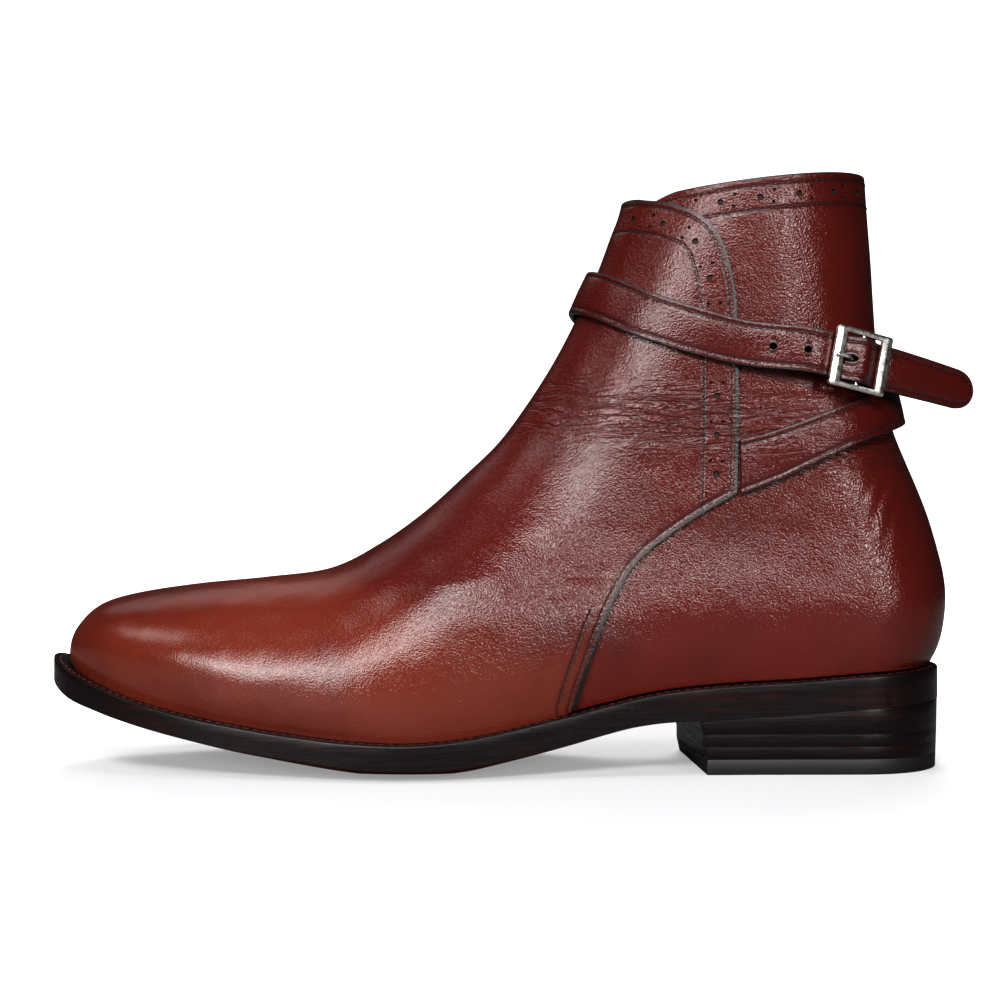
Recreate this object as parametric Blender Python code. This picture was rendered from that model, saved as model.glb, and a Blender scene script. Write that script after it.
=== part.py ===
"""Jodhpur boot for the left foot, built as a maker builds it: welt, outsole, stacked heel, a hollow
upper, a front panel lapped over it, an ankle strap, a buckle strap and a buckle.

Metres, +Z up. The origin is on the floor under the middle of the heel, the toe points to -X and
the outer side of the foot faces -Y. The tables below are drawn for the sizes in DRAWN, and the
driving sizes stretch them."""

import math

import bmesh
import bpy
import numpy as np
from mathutils import Matrix, Vector

# Driving sizes
SOLE_LENGTH = 0.304
BALL_WIDTH = 0.101
COLLAR_HEIGHT = 0.200
HEEL_HEIGHT = 0.0176

# Leather and metal thicknesses
WALL = 0.0024
PANEL_THICKNESS = 0.0014
STRAP_THICKNESS = 0.0019
BUCKLE_STRAP_THICKNESS = 0.0016
WELT_THICKNESS = 0.0030
INSOLE_THICKNESS = 0.0025
TOP_PIECE_THICKNESS = 0.0050
LIFT_THICKNESS = 0.0038
GAP = 0.0003
FEATHER_GAP = 0.0005
PANEL_LIFT = 0.0004

DRAWN = {"length": 0.304, "width": 0.101, "height": 0.200, "heel": 0.0176}
ALONG = SOLE_LENGTH / DRAWN["length"]
ACROSS = BALL_WIDTH / DRAWN["width"]
UP = COLLAR_HEIGHT / DRAWN["height"]
HEEL_RAISE = HEEL_HEIGHT - DRAWN["heel"]

LATERAL, MEDIAL = -1, 1
LAST_COLUMNS, LAST_ROWS = 38, 24

# Sections of the last from the feather line up to the collar. Each one is a closed loop that runs
# from its front point, on the toe, instep or shin, to its back point, on the heel or calf. Sag is
# the share of the feather line's dip that the loop keeps between the two.
SECTIONS = (
    # front x, front z, back x, back z, sag
    (-0.2539, 0.0348, 0.0400, 0.0345, 1.00),
    (-0.2535, 0.0405, 0.0426, 0.0395, 0.95),
    (-0.2509, 0.0463, 0.0443, 0.0450, 0.89),
    (-0.2439, 0.0526, 0.0453, 0.0520, 0.82),
    (-0.2315, 0.0563, 0.0455, 0.0585, 0.74),
    (-0.2107, 0.0594, 0.0446, 0.0660, 0.64),
    (-0.1880, 0.0616, 0.0424, 0.0750, 0.54),
    (-0.1652, 0.0648, 0.0395, 0.0847, 0.43),
    (-0.1480, 0.0732, 0.0360, 0.0938, 0.33),
    (-0.1320, 0.0845, 0.0322, 0.1027, 0.24),
    (-0.1177, 0.0974, 0.0285, 0.1118, 0.16),
    (-0.1059, 0.1089, 0.0256, 0.1215, 0.10),
    (-0.0954, 0.1231, 0.0233, 0.1330, 0.06),
    (-0.0869, 0.1366, 0.0219, 0.1452, 0.03),
    (-0.0797, 0.1503, 0.0210, 0.1580, 0.01),
    (-0.0725, 0.1658, 0.0202, 0.1710, 0.00),
    (-0.0671, 0.1802, 0.0190, 0.1860, 0.00),
    (-0.0645, 0.1870, 0.0180, 0.2000, 0.00),
    (-0.0625, 0.1950, 0.0172, 0.2080, 0.00),
)
COLLAR_ROW = len(SECTIONS) - 2
COLLAR_RISE, COLLAR_PEAK = 0.44, 0.45

# Plan of the feather line: half widths each side of the middle line, before the ends are rounded
PLAN = (
    # x, outer half width, inner half width, middle line
    (-0.2560, 0.0350, 0.0300, 0.0060),
    (-0.2400, 0.0362, 0.0318, 0.0056),
    (-0.2200, 0.0385, 0.0342, 0.0052),
    (-0.2000, 0.0415, 0.0362, 0.0048),
    (-0.1800, 0.0450, 0.0380, 0.0044),
    (-0.1600, 0.0483, 0.0392, 0.0038),
    (-0.1450, 0.0494, 0.0388, 0.0032),
    (-0.1300, 0.0484, 0.0372, 0.0028),
    (-0.1100, 0.0442, 0.0332, 0.0022),
    (-0.0900, 0.0389, 0.0286, 0.0014),
    (-0.0700, 0.0345, 0.0262, 0.0008),
    (-0.0500, 0.0320, 0.0262, 0.0003),
    (-0.0250, 0.0308, 0.0280, 0.0000),
    (0.0000, 0.0306, 0.0296, 0.0000),
    (0.0400, 0.0304, 0.0300, 0.0000),
)
TOE_ROUND = 0.062

# Side line of the sole: top of the welt, underside at the edge, and underside at the middle
SIDE_LINE = (
    # x, welt top, edge underside, middle underside
    (-0.2620, 0.0374, 0.0292, 0.0282),
    (-0.2550, 0.0340, 0.0248, 0.0236),
    (-0.2410, 0.0284, 0.0202, 0.0186),
    (-0.2290, 0.0246, 0.0170, 0.0150),
    (-0.2170, 0.0217, 0.0143, 0.0119),
    (-0.2050, 0.0192, 0.0119, 0.0091),
    (-0.1930, 0.0172, 0.0096, 0.0065),
    (-0.1820, 0.0155, 0.0080, 0.0045),
    (-0.1710, 0.0142, 0.0066, 0.0026),
    (-0.1600, 0.0130, 0.0053, 0.0009),
    (-0.1490, 0.0123, 0.0043, -0.0004),
    (-0.1380, 0.0120, 0.0038, -0.0008),
    (-0.1275, 0.0124, 0.0039, -0.0004),
    (-0.1160, 0.0138, 0.0049, 0.0010),
    (-0.1060, 0.0156, 0.0065, 0.0033),
    (-0.0940, 0.0182, 0.0089, 0.0062),
    (-0.0840, 0.0203, 0.0111, 0.0088),
    (-0.0740, 0.0227, 0.0136, 0.0116),
    (-0.0640, 0.0250, 0.0159, 0.0142),
    (-0.0540, 0.0269, 0.0172, 0.0158),
    (-0.0410, 0.0284, 0.0177, 0.0170),
    (-0.0270, 0.0295, 0.0187, 0.0187),
    (-0.0090, 0.0305, 0.0197, 0.0197),
    (0.0100, 0.0321, 0.0213, 0.0213),
    (0.0310, 0.0334, 0.0226, 0.0226),
    (0.0430, 0.0342, 0.0234, 0.0234),
)

# Ankle and shaft: half width, and how far the shin and the calf are rounded off
SHAFT = (
    # z, half width, shin round, calf round
    (0.0300, 0.0320, 0.0700, 0.0300),
    (0.0560, 0.0325, 0.0650, 0.0330),
    (0.0800, 0.0318, 0.0600, 0.0345),
    (0.1000, 0.0308, 0.0540, 0.0360),
    (0.1200, 0.0308, 0.0500, 0.0385),
    (0.1450, 0.0318, 0.0470, 0.0410),
    (0.1700, 0.0330, 0.0440, 0.0420),
    (0.2100, 0.0346, 0.0420, 0.0420),
)

# How far the upper swells out over the feather line, and how high up it is widest
FORE_SWELL, HEEL_SWELL = 0.0022, 0.0036
FORE_WIDEST, HEEL_WIDEST = 0.012, 0.022

# Width of the sole's ledge outside the feather line
LEDGE = (
    # x, outer side, inner side
    (-0.2620, 0.0078, 0.0078),
    (-0.2300, 0.0066, 0.0066),
    (-0.1500, 0.0062, 0.0062),
    (-0.1100, 0.0055, 0.0050),
    (-0.0700, 0.0040, 0.0028),
    (-0.0300, 0.0030, 0.0026),
    (0.0450, 0.0028, 0.0028),
)

# Side outline of the front panel: over the rounded flap down to its lower corner, and from that
# corner forward and down to the welt
FLAP_EDGE = (
    # x, z
    (-0.0900, 0.1945),
    (-0.0640, 0.1916),
    (-0.0568, 0.1898),
    (-0.0510, 0.1881),
    (-0.0451, 0.1858),
    (-0.0405, 0.1830),
    (-0.0370, 0.1794),
    (-0.0341, 0.1745),
    (-0.0323, 0.1688),
    (-0.0306, 0.1614),
    (-0.0296, 0.1530),
    (-0.0289, 0.1300),
    (-0.0289, 0.1103),
    (-0.0293, 0.0920),
)
FLAP_FOOT = (
    # x, z
    (-0.0293, 0.0920),
    (-0.0418, 0.0849),
    (-0.0528, 0.0775),
    (-0.0601, 0.0716),
    (-0.0656, 0.0652),
    (-0.0702, 0.0569),
    (-0.0739, 0.0486),
    (-0.0776, 0.0386),
    (-0.0808, 0.0294),
    (-0.0830, 0.0218),
)
FLAP_FRONT = ((-0.3000, 0.0450), (-0.3000, 0.1200), (-0.1500, 0.2000))

HEEL_BREAST = {LATERAL: -0.0412, MEDIAL: -0.0450}
HEEL_BREAST_RAKE = 0.10
HEEL_TAPER = 0.035
BEVEL, BACK_BEVEL = 0.0010, 0.0016

# Path of the long strap: turn round the shaft (0 at the shin, 90 on the outer side, 180 at the
# calf), height, stand off from the upper, and width
STRAP_PATH = (
    # degrees, z, stand off, width
    (100.6, 0.1010, 0.0006, 0.0174),
    (108.0, 0.1042, 0.0007, 0.0160),
    (118.0, 0.1088, 0.0009, 0.0146),
    (131.0, 0.1138, 0.0014, 0.0138),
    (147.0, 0.1178, 0.0022, 0.0136),
    (163.0, 0.1206, 0.0030, 0.0138),
    (180.0, 0.1226, 0.0034, 0.0140),
    (210.0, 0.1270, 0.0034, 0.0143),
    (240.0, 0.1330, 0.0032, 0.0146),
    (270.0, 0.1402, 0.0030, 0.0150),
    (300.0, 0.1480, 0.0030, 0.0153),
    (330.0, 0.1552, 0.0032, 0.0154),
    (360.0, 0.1592, 0.0034, 0.0154),
    (390.0, 0.1566, 0.0030, 0.0154),
    (415.0, 0.1506, 0.0028, 0.0152),
    (437.0, 0.1450, 0.0028, 0.0150),
    (452.0, 0.1418, 0.0028, 0.0148),
)
TAIL_WIDTH, TAIL_END_WIDTH = 0.0146, 0.0128
ROOT_UPRIGHT = 0.016
STRAP_HOLES = (
    # place along the strap from the buckle's centre, half length, half width
    (-0.0045, 0.0026, 0.0013),
    (-0.0196, 0.0012, 0.0012),
    (-0.0310, 0.0012, 0.0012),
)

# Path of the short strap that carries the buckle: from the inner side round the calf
BUCKLE_STRAP_PATH = (
    # degrees, z, stand off, width
    (258.5, 0.1012, 0.0006, 0.0170),
    (247.0, 0.1054, 0.0006, 0.0150),
    (230.0, 0.1134, 0.0006, 0.0136),
    (210.0, 0.1232, 0.0006, 0.0132),
    (192.0, 0.1306, 0.0006, 0.0130),
    (178.0, 0.1342, 0.0006, 0.0128),
    (166.0, 0.1352, 0.0008, 0.0128),
)

# Buckle: a flat frame with a bar across its middle, and a prong. It faces outwards and a little
# back, and tips down towards the strap's tail
BUCKLE_CENTRE = Vector((0.0106, -0.0352, 0.1354))
BUCKLE_TURN = math.radians(21)
BUCKLE_TIP = math.radians(11.5)
FRAME_LENGTH, FRAME_HEIGHT, FRAME_THICKNESS = 0.0208, 0.0198, 0.0018
END_BAR, SIDE_BAR = 0.0036, 0.0017
MIDDLE_BAR_RADIUS, MIDDLE_BAR_DROP = 0.0007, 0.0004
PRONG_RADIUS = 0.0007
TAIL_LENGTH = 0.0480
TAIL_CURL = math.radians(10)


def clear_scene():
    for item in list(bpy.data.objects):
        bpy.data.objects.remove(item)


def column(table, index, scale=1.0):
    return np.array([row[index] for row in table]) * scale


def curve(xs, ys, x):
    """Smooth curve through the points (xs, ys), each slope taken from the point's neighbours."""
    slopes = np.gradient(ys, xs)
    x = np.clip(np.asarray(x, float), xs[0], xs[-1])
    i = np.clip(np.searchsorted(xs, x, side="right") - 1, 0, len(xs) - 2)
    step = xs[i + 1] - xs[i]
    u = (x - xs[i]) / step
    rise = ys[i + 1] - ys[i]
    bend_in = slopes[i] * step - rise
    bend_out = rise - slopes[i + 1] * step
    return ys[i] + u * rise + u * (1 - u) * ((1 - u) * bend_in + u * bend_out)


def ease(low, high, x):
    u = np.clip((np.asarray(x, float) - low) / (high - low), 0, 1)
    return u * u * (3 - 2 * u)


def rounded(u):
    """Rises from 0 to 1 as the edge of a round does, and stays there."""
    return np.sqrt(np.clip(1 - (1 - np.clip(u, 0, 1)) ** 2.3, 0, 1))


ROWS = np.arange(len(SECTIONS), dtype=float)
FRONT_X = column(SECTIONS, 0, ALONG)
FRONT_Z = column(SECTIONS, 1, UP)
BACK_X = column(SECTIONS, 2, ALONG)
BACK_Z = column(SECTIONS, 3, UP)
SAG = column(SECTIONS, 4)
FINE_ROWS = np.linspace(0, len(SECTIONS) - 1, 4001)
FINE_FRONT = (curve(ROWS, FRONT_X, FINE_ROWS), curve(ROWS, FRONT_Z, FINE_ROWS))
FINE_BACK = (curve(ROWS, BACK_X, FINE_ROWS), curve(ROWS, BACK_Z, FINE_ROWS))
TOE_X = FRONT_X[0]


def side_column(table, side):
    return column(table, 1 if side == LATERAL else 2, ACROSS)


def middle_line(x):
    return curve(column(PLAN, 0, ALONG), column(PLAN, 3, ACROSS), x)


def plan_width(x, side):
    """Half width of the feather line, rounded off at the toe."""
    width = curve(column(PLAN, 0, ALONG), side_column(PLAN, side), x)
    return width * rounded((x - TOE_X) / (TOE_ROUND * ALONG))


def welt_top(x):
    return curve(column(SIDE_LINE, 0, ALONG), column(SIDE_LINE, 1), x) + HEEL_RAISE * ease(-0.12, -0.05, x)


def arch_width(x, z, side):
    """Half width of the forefoot: upright sections that arch over from the feather line."""
    low = welt_top(x) + FEATHER_GAP
    top = np.maximum(np.interp(x, *FINE_FRONT), low + 1e-5)
    widest = low + np.minimum(FORE_WIDEST, 0.4 * (top - low))
    swell = FORE_SWELL * np.minimum(1, (top - low) / FORE_WIDEST)
    below = np.clip((widest - z) / (widest - low), 0, 1)
    above = np.clip((z - widest) / (top - widest), 0, 1)
    return (plan_width(x, side) + swell * (1 - below**2)) * np.sqrt(1 - above**2.25)


def oval_width(x, z, side):
    """Half width of heel, ankle and shaft: level sections, rounded off at shin and calf."""
    shaft_z = column(SHAFT, 0, UP)
    low = welt_top(x) + FEATHER_GAP
    up = np.clip((z - low) / HEEL_WIDEST, 0, 2)
    heel = plan_width(x, side) + HEEL_SWELL * np.clip(up * (2 - up), 0, 1)
    shaft = curve(shaft_z, column(SHAFT, 1, ACROSS), z)
    width = heel + (shaft - heel) * ease(0.050 * UP, 0.105 * UP, z)
    shin = (x - np.interp(z, FINE_FRONT[1], FINE_FRONT[0])) / curve(shaft_z, column(SHAFT, 2, ALONG), z)
    calf = (np.interp(z, FINE_BACK[1], FINE_BACK[0]) - x) / curve(shaft_z, column(SHAFT, 3, ALONG), z)
    return width * rounded(shin) * rounded(calf)


def half_width(x, z, side):
    share = ease(-0.150 * ALONG, -0.078 * ALONG, x)
    return (1 - share) * arch_width(x, z, side) + share * oval_width(x, z, side)


def last_point(row, turn):
    """Point of the last's surface: row counts SECTIONS, turn is 0 at the front, a quarter on the
    outer side, a half at the back and three quarters on the inner side. Near the collar the rows
    wave, low beside the shin where the quarter's corner tucks in."""
    s = (1 - np.cos(2 * math.pi * turn)) / 2
    wave = COLLAR_RISE * ease(0.02, 0.20, s) * (1 - s) + COLLAR_PEAK * (1 - ease(0.0, 0.05, s))
    row = row + wave * ease(COLLAR_ROW - 4, COLLAR_ROW, row)
    side = LATERAL if turn <= 0.5 else MEDIAL
    x = curve(ROWS, FRONT_X, row) * (1 - s) + curve(ROWS, BACK_X, row) * s
    z = curve(ROWS, FRONT_Z, row) * (1 - s) + curve(ROWS, BACK_Z, row) * s
    feather_x = FRONT_X[0] * (1 - s) + BACK_X[0] * s
    feather_z = FRONT_Z[0] * (1 - s) + BACK_Z[0] * s
    ends = np.clip(s / 0.02, 0, 1) * np.clip((1 - s) / 0.02, 0, 1)
    z += curve(ROWS, SAG, row) * ends * (welt_top(feather_x) + FEATHER_GAP - feather_z)
    width = half_width(x, z, side) if 0 < s < 1 else 0.0
    return Vector((float(x), float(middle_line(x) + side * width), float(z)))


def shaft_point(degrees, z, stand_off=0.0):
    """Point beside the shaft at a turn and a height, and the way that the shaft faces there."""

    def at(angle, height):
        s = (1 - math.cos(angle)) / 2
        front, back = np.interp(height, *FINE_FRONT[::-1]), np.interp(height, *FINE_BACK[::-1])
        x = front + (back - front) * s
        side = LATERAL if math.sin(angle) >= 0 else MEDIAL
        return Vector((float(x), float(middle_line(x) + side * half_width(x, height, side)), height))

    angle, small = math.radians(degrees), math.radians(2)
    round_way = at(angle + small, z) - at(angle - small, z)
    up_way = at(angle, z + 0.002) - at(angle, z - 0.002)
    outward = round_way.cross(up_way).normalized()
    if outward.dot(at(angle, z) - Vector((-0.03, 0, z))) < 0:
        outward.negate()
    return at(angle, z) + outward * stand_off, outward


def leather(name, colour, roughness):
    material = bpy.data.materials.new(name)
    material.use_nodes = True
    shader = material.node_tree.nodes["Principled BSDF"]
    shader.inputs["Base Color"].default_value = (*colour, 1)
    shader.inputs["Roughness"].default_value = roughness
    return material


def metal(name, colour, roughness):
    material = leather(name, colour, roughness)
    material.node_tree.nodes["Principled BSDF"].inputs["Metallic"].default_value = 1
    return material


def new_object(name, mesh, material):
    mesh.materials.append(material)
    item = bpy.data.objects.new(name, mesh)
    bpy.context.scene.collection.objects.link(item)
    return item


def finish_mesh(name, shape, smooth=True):
    bmesh.ops.recalc_face_normals(shape, faces=shape.faces)
    mesh = bpy.data.meshes.new(name)
    shape.to_mesh(mesh)
    shape.free()
    if smooth:
        mesh.shade_smooth()
        mesh.set_sharp_from_angle(angle=math.radians(35))
    return mesh


def grid(columns, rows, place):
    """A sheet of quads whose corner at shares (u, v) of its width and height lies at place(u, v)."""
    shape = bmesh.new()
    bmesh.ops.create_grid(shape, x_segments=columns, y_segments=rows, size=0.5)
    for vertex in shape.verts:
        vertex.co = place(round(vertex.co.x + 0.5, 6), round(vertex.co.y + 0.5, 6))
    bmesh.ops.remove_doubles(shape, verts=shape.verts, dist=1e-6)
    return shape


def last_sheet(name, extra_rows=()):
    """The last's surface from the feather line up to the collar, as a tube of quads."""
    rows = [float(row) for row in np.linspace(0, COLLAR_ROW, LAST_ROWS + 1)] + list(extra_rows)
    top = len(rows) - 1
    place = grid(LAST_COLUMNS, top, lambda u, v: last_point(rows[int(round(v * top))], u))
    return finish_mesh(name, place)


def thicken(item, thickness, offset):
    wall = item.modifiers.new("Wall", "SOLIDIFY")
    wall.thickness = thickness
    wall.offset = offset
    wall.use_even_offset = True
    return wall


def make_upper(material):
    """Quarters and lining: one hollow wall, open at the collar and under the foot."""
    mesh = last_sheet("upper")
    face_out(mesh)
    upper = new_object("upper", mesh, material)
    thicken(upper, WALL, -1)
    return upper


def face_out(mesh):
    """Turns a tube's faces so that they look away from the inside of the boot."""
    inside = Vector((-0.03 * ALONG, 0, 0.12 * UP))
    votes = sum(
        face.normal.dot(face.center - inside) * face.area
        for face in mesh.polygons
        if face.center.z > inside.z
    )
    if votes < 0:
        mesh.flip_normals()


def prism(name, outline, half_depth):
    """A cutter: the side outline drawn out across the boot, both ways from its middle."""
    shape = bmesh.new()
    face = shape.faces.new([shape.verts.new((x, -half_depth, z)) for x, z in outline])
    drawn = bmesh.ops.extrude_face_region(shape, geom=[face], use_keep_orig=True)
    moved = [part for part in drawn["geom"] if isinstance(part, bmesh.types.BMVert)]
    bmesh.ops.translate(shape, verts=moved, vec=(0, 2 * half_depth, 0))
    cutter = bpy.data.objects.new(name, finish_mesh(name, shape, smooth=False))
    bpy.context.scene.collection.objects.link(cutter)
    cutter.hide_render = True
    cutter.display_type = "WIRE"
    return cutter


def smooth_line(points, steps):
    """The points of a smooth line through the given ones, steps of them to each stretch."""
    at = np.arange(len(points), dtype=float)
    fine = np.linspace(0, len(points) - 1, steps * (len(points) - 1) + 1)
    return list(zip(curve(at, column(points, 0), fine), curve(at, column(points, 1), fine)))


def panel_outline():
    """The front panel's outline seen from the side. Along the sole it follows the welt."""
    back = smooth_line(FLAP_EDGE, 2) + smooth_line(FLAP_FOOT, 2)[1:]
    points = [(float(x) * ALONG, float(z) * UP) for x, z in back]
    for x in np.linspace(points[-1][0], -0.275 * ALONG, 40)[1:]:
        points.append((float(x), float(welt_top(x)) + 2 * GAP))
    return points + [(x * ALONG, z * UP) for x, z in FLAP_FRONT]


def make_front_panel(material):
    """Vamp and shaft front: an overlay cut from a shell that follows the upper's own surface."""
    mesh = last_sheet("front_panel", (COLLAR_ROW + 0.55,))
    face_out(mesh)
    inner = bpy.data.meshes.new("front_panel")
    shape = bmesh.new()
    shape.from_mesh(mesh)
    shape.normal_update()
    for vertex, normal in [(v, v.normal.copy()) for v in shape.verts]:
        vertex.co += normal * PANEL_LIFT
    shape.to_mesh(inner)
    shape.free()
    bpy.data.meshes.remove(mesh)
    panel = new_object("front_panel", inner, material)
    thicken(panel, PANEL_THICKNESS, 1)
    cut = panel.modifiers.new("Outline", "BOOLEAN")
    cut.operation = "INTERSECT"
    cut.object = prism("panel_cutter", panel_outline(), 0.08)
    return panel


def feather_edge(turn, out=0.0):
    """Plan point of the feather line, moved outwards by out."""

    def feather(t):
        s = (1 - math.cos(2 * math.pi * t)) / 2
        side = LATERAL if math.sin(2 * math.pi * t) >= 0 else MEDIAL
        x = FRONT_X[0] * (1 - s) + BACK_X[0] * s
        width = plan_width(x, side) * rounded((BACK_X[0] - x) / (0.030 * ALONG))
        return Vector((float(x), float(middle_line(x) + side * width)))

    point = feather(turn)
    along = feather(turn + 0.004) - feather(turn - 0.004)
    return point + Vector((along.y, -along.x)).normalized() * out


def sole_edge(turn, grow=0.0):
    """Plan point of the sole's edge: the feather line moved out by the ledge, and by grow more."""
    side = LATERAL if math.sin(2 * math.pi * turn) >= 0 else MEDIAL
    ledge = curve(column(LEDGE, 0, ALONG), side_column(LEDGE, side), feather_edge(turn).x)
    return feather_edge(turn, float(ledge) + grow)


def tread(x, share):
    """Height of the sole's underside: flat across the middle and crowned up to its edge."""
    xs = column(SIDE_LINE, 0, ALONG)
    edge = curve(xs, column(SIDE_LINE, 2), x)
    middle = np.maximum(curve(xs, column(SIDE_LINE, 3), x), 0)
    crown = np.clip((abs(share) - 0.45) / 0.55, 0, 1) ** 2
    return float(middle + (edge - middle) * crown + HEEL_RAISE * ease(-0.12, -0.05, x))


def plate(columns, across, edge_points, top, bottom):
    """A closed plate. edge_points(u) gives its two edge points at a share u of its length, and
    top and bottom give its heights at (x, y, share), share running from -1 to 1 across."""

    def place(u, v):
        outer, inner = edge_points(u)
        point = outer.lerp(inner, v)
        return Vector((point.x, point.y, top(point.x, point.y, 2 * v - 1)))

    shape = grid(columns, across, place)
    shares = {}
    for column_index in range(columns + 1):
        outer, inner = edge_points(column_index / columns)
        for row_index in range(across + 1):
            point = outer.lerp(inner, row_index / across)
            shares[round(point.x, 5), round(point.y, 5)] = 2 * row_index / across - 1
    drawn = bmesh.ops.extrude_face_region(shape, geom=list(shape.faces), use_keep_orig=True)
    for vertex in drawn["geom"]:
        if isinstance(vertex, bmesh.types.BMVert):
            share = shares.get((round(vertex.co.x, 5), round(vertex.co.y, 5)), 0.0)
            vertex.co.z = bottom(vertex.co.x, vertex.co.y, share)
    return shape


def pair_of_edges(grow):
    return lambda u: (sole_edge(u / 2, grow), sole_edge(1 - u / 2, grow))


def make_outsole(material):
    shape = plate(
        40,
        8,
        pair_of_edges(0.0),
        lambda x, y, share: float(welt_top(x)) - WELT_THICKNESS - GAP,
        lambda x, y, share: tread(x, share),
    )
    return new_object("outsole", finish_mesh("outsole", shape), material)


def make_insole(material):
    inset = -(WALL + 0.0008)
    shape = plate(
        30,
        2,
        lambda u: (feather_edge(u / 2, inset), feather_edge(1 - u / 2, inset)),
        lambda x, y, share: float(welt_top(x)) + GAP + INSOLE_THICKNESS,
        lambda x, y, share: float(welt_top(x)) + GAP,
    )
    return new_object("insole", finish_mesh("insole", shape), material)


def make_welt(material):
    """A strip all round between upper and outsole, wide enough for the upper to stand on."""
    width = 0.0125

    def place(u, v):
        point = sole_edge(u, -width * v)
        return Vector((point.x, point.y, float(welt_top(point.x))))

    shape = grid(92, 1, place)
    drawn = bmesh.ops.extrude_face_region(shape, geom=list(shape.faces), use_keep_orig=True)
    for vertex in drawn["geom"]:
        if isinstance(vertex, bmesh.types.BMVert):
            vertex.co.z -= WELT_THICKNESS
    return new_object("welt", finish_mesh("welt", shape), material)


def heel_edges(z, inset=0.0):
    """Edge points of the heel at a height: the sole's edge behind the breast, tapered downwards."""
    drop = 0.0234 + HEEL_RAISE - z
    grow = -HEEL_TAPER * drop - inset

    def turn_at(side, x):
        turns = [t / 400 for t in range(201)]
        if side == MEDIAL:
            turns = [1 - t for t in turns]
        return min(turns, key=lambda t: abs(sole_edge(t, grow).x - x))

    rake = HEEL_BREAST_RAKE * drop + inset
    starts = {side: turn_at(side, HEEL_BREAST[side] * ALONG + rake) for side in (LATERAL, MEDIAL)}

    def edges(u):
        outer = starts[LATERAL] + (0.5 - starts[LATERAL]) * u
        inner = starts[MEDIAL] + (0.5 - starts[MEDIAL]) * u
        return sole_edge(outer, grow), sole_edge(inner, grow)

    return edges


def make_heel_layer(name, levels, material):
    """One layer of the heel, built of levels from the top down. Each level is the height that its
    outline is taken at, how far that is drawn in, and its height at (x, share)."""
    columns, across = 16, 4
    shape = bmesh.new()
    rings = []
    for height, inset, z_of in levels:
        edges = heel_edges(height, inset)
        ring = {}
        for i in range(columns + 1):
            outer, inner = edges(i / columns)
            for j in range(across + 1):
                point = outer.lerp(inner, j / across)
                place = (point.x, point.y, z_of(point.x, 2 * j / across - 1))
                ring[i, j] = shape.verts.new(place)
        rings.append(ring)
    top, low = rings[0], rings[-1]
    for i in range(columns):
        for j in range(across):
            corners = ((i, j), (i + 1, j), (i + 1, j + 1), (i, j + 1))
            shape.faces.new([top[corner] for corner in corners])
            shape.faces.new([low[corner] for corner in reversed(corners)])
    rim = [(i, 0) for i in range(columns + 1)]
    rim += [(i, across) for i in range(columns, -1, -1)]
    rim += [(0, j) for j in range(across - 1, 0, -1)]
    for upper, lower in zip(rings, rings[1:]):
        for here, after in zip(rim, rim[1:] + rim[:1]):
            shape.faces.new((upper[here], upper[after], lower[after], lower[here]))
    inner_rings = [ring for ring in rings[1:-1]]
    spare = [v for ring in inner_rings for key, v in ring.items() if key not in rim]
    bmesh.ops.delete(shape, geom=spare, context="VERTS")
    bmesh.ops.remove_doubles(shape, verts=shape.verts, dist=2e-6)
    return new_object(name, finish_mesh(name, shape), material)


def make_heel(lift_material, rubber):
    def flat(z):
        return lambda x, share: z

    def bevel(x, share):
        return float(BEVEL + BACK_BEVEL * ease(-0.030 * ALONG, 0.040 * ALONG, x))

    top = TOP_PIECE_THICKNESS
    levels = ((top, 0.0, flat(top)), (0.001, 0.0, bevel), (0.0, BEVEL, flat(0.0)))
    make_heel_layer("heel_top_piece", levels, rubber)
    low = TOP_PIECE_THICKNESS + GAP
    for number in (1, 2):
        high = low + LIFT_THICKNESS
        levels = ((high, 0.0, flat(high)), (low, 0.0, flat(low)))
        make_heel_layer(f"heel_lift_{number}", levels, lift_material)
        low = high + GAP
    levels = ((0.0195, 0.0, lambda x, share: tread(x, share) - GAP), (low, 0.0, flat(low)))
    make_heel_layer("heel_lift_3", levels, lift_material)


def buckle_axes():
    """Unit vectors of the buckle: along the strap to its tail, up across it, and outwards."""
    along = Vector(
        (
            math.cos(BUCKLE_TURN) * math.cos(BUCKLE_TIP),
            math.sin(BUCKLE_TURN) * math.cos(BUCKLE_TIP),
            -math.sin(BUCKLE_TIP),
        )
    )
    outward = Vector((math.sin(BUCKLE_TURN), -math.cos(BUCKLE_TURN), 0))
    return along, along.cross(outward).normalized() * -1, outward


def by_buckle(along, out):
    """A point beside the buckle's centre: along the strap, and outwards from the frame's middle."""
    run, _, outward = buckle_axes()
    return BUCKLE_CENTRE + run * along + outward * out


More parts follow.
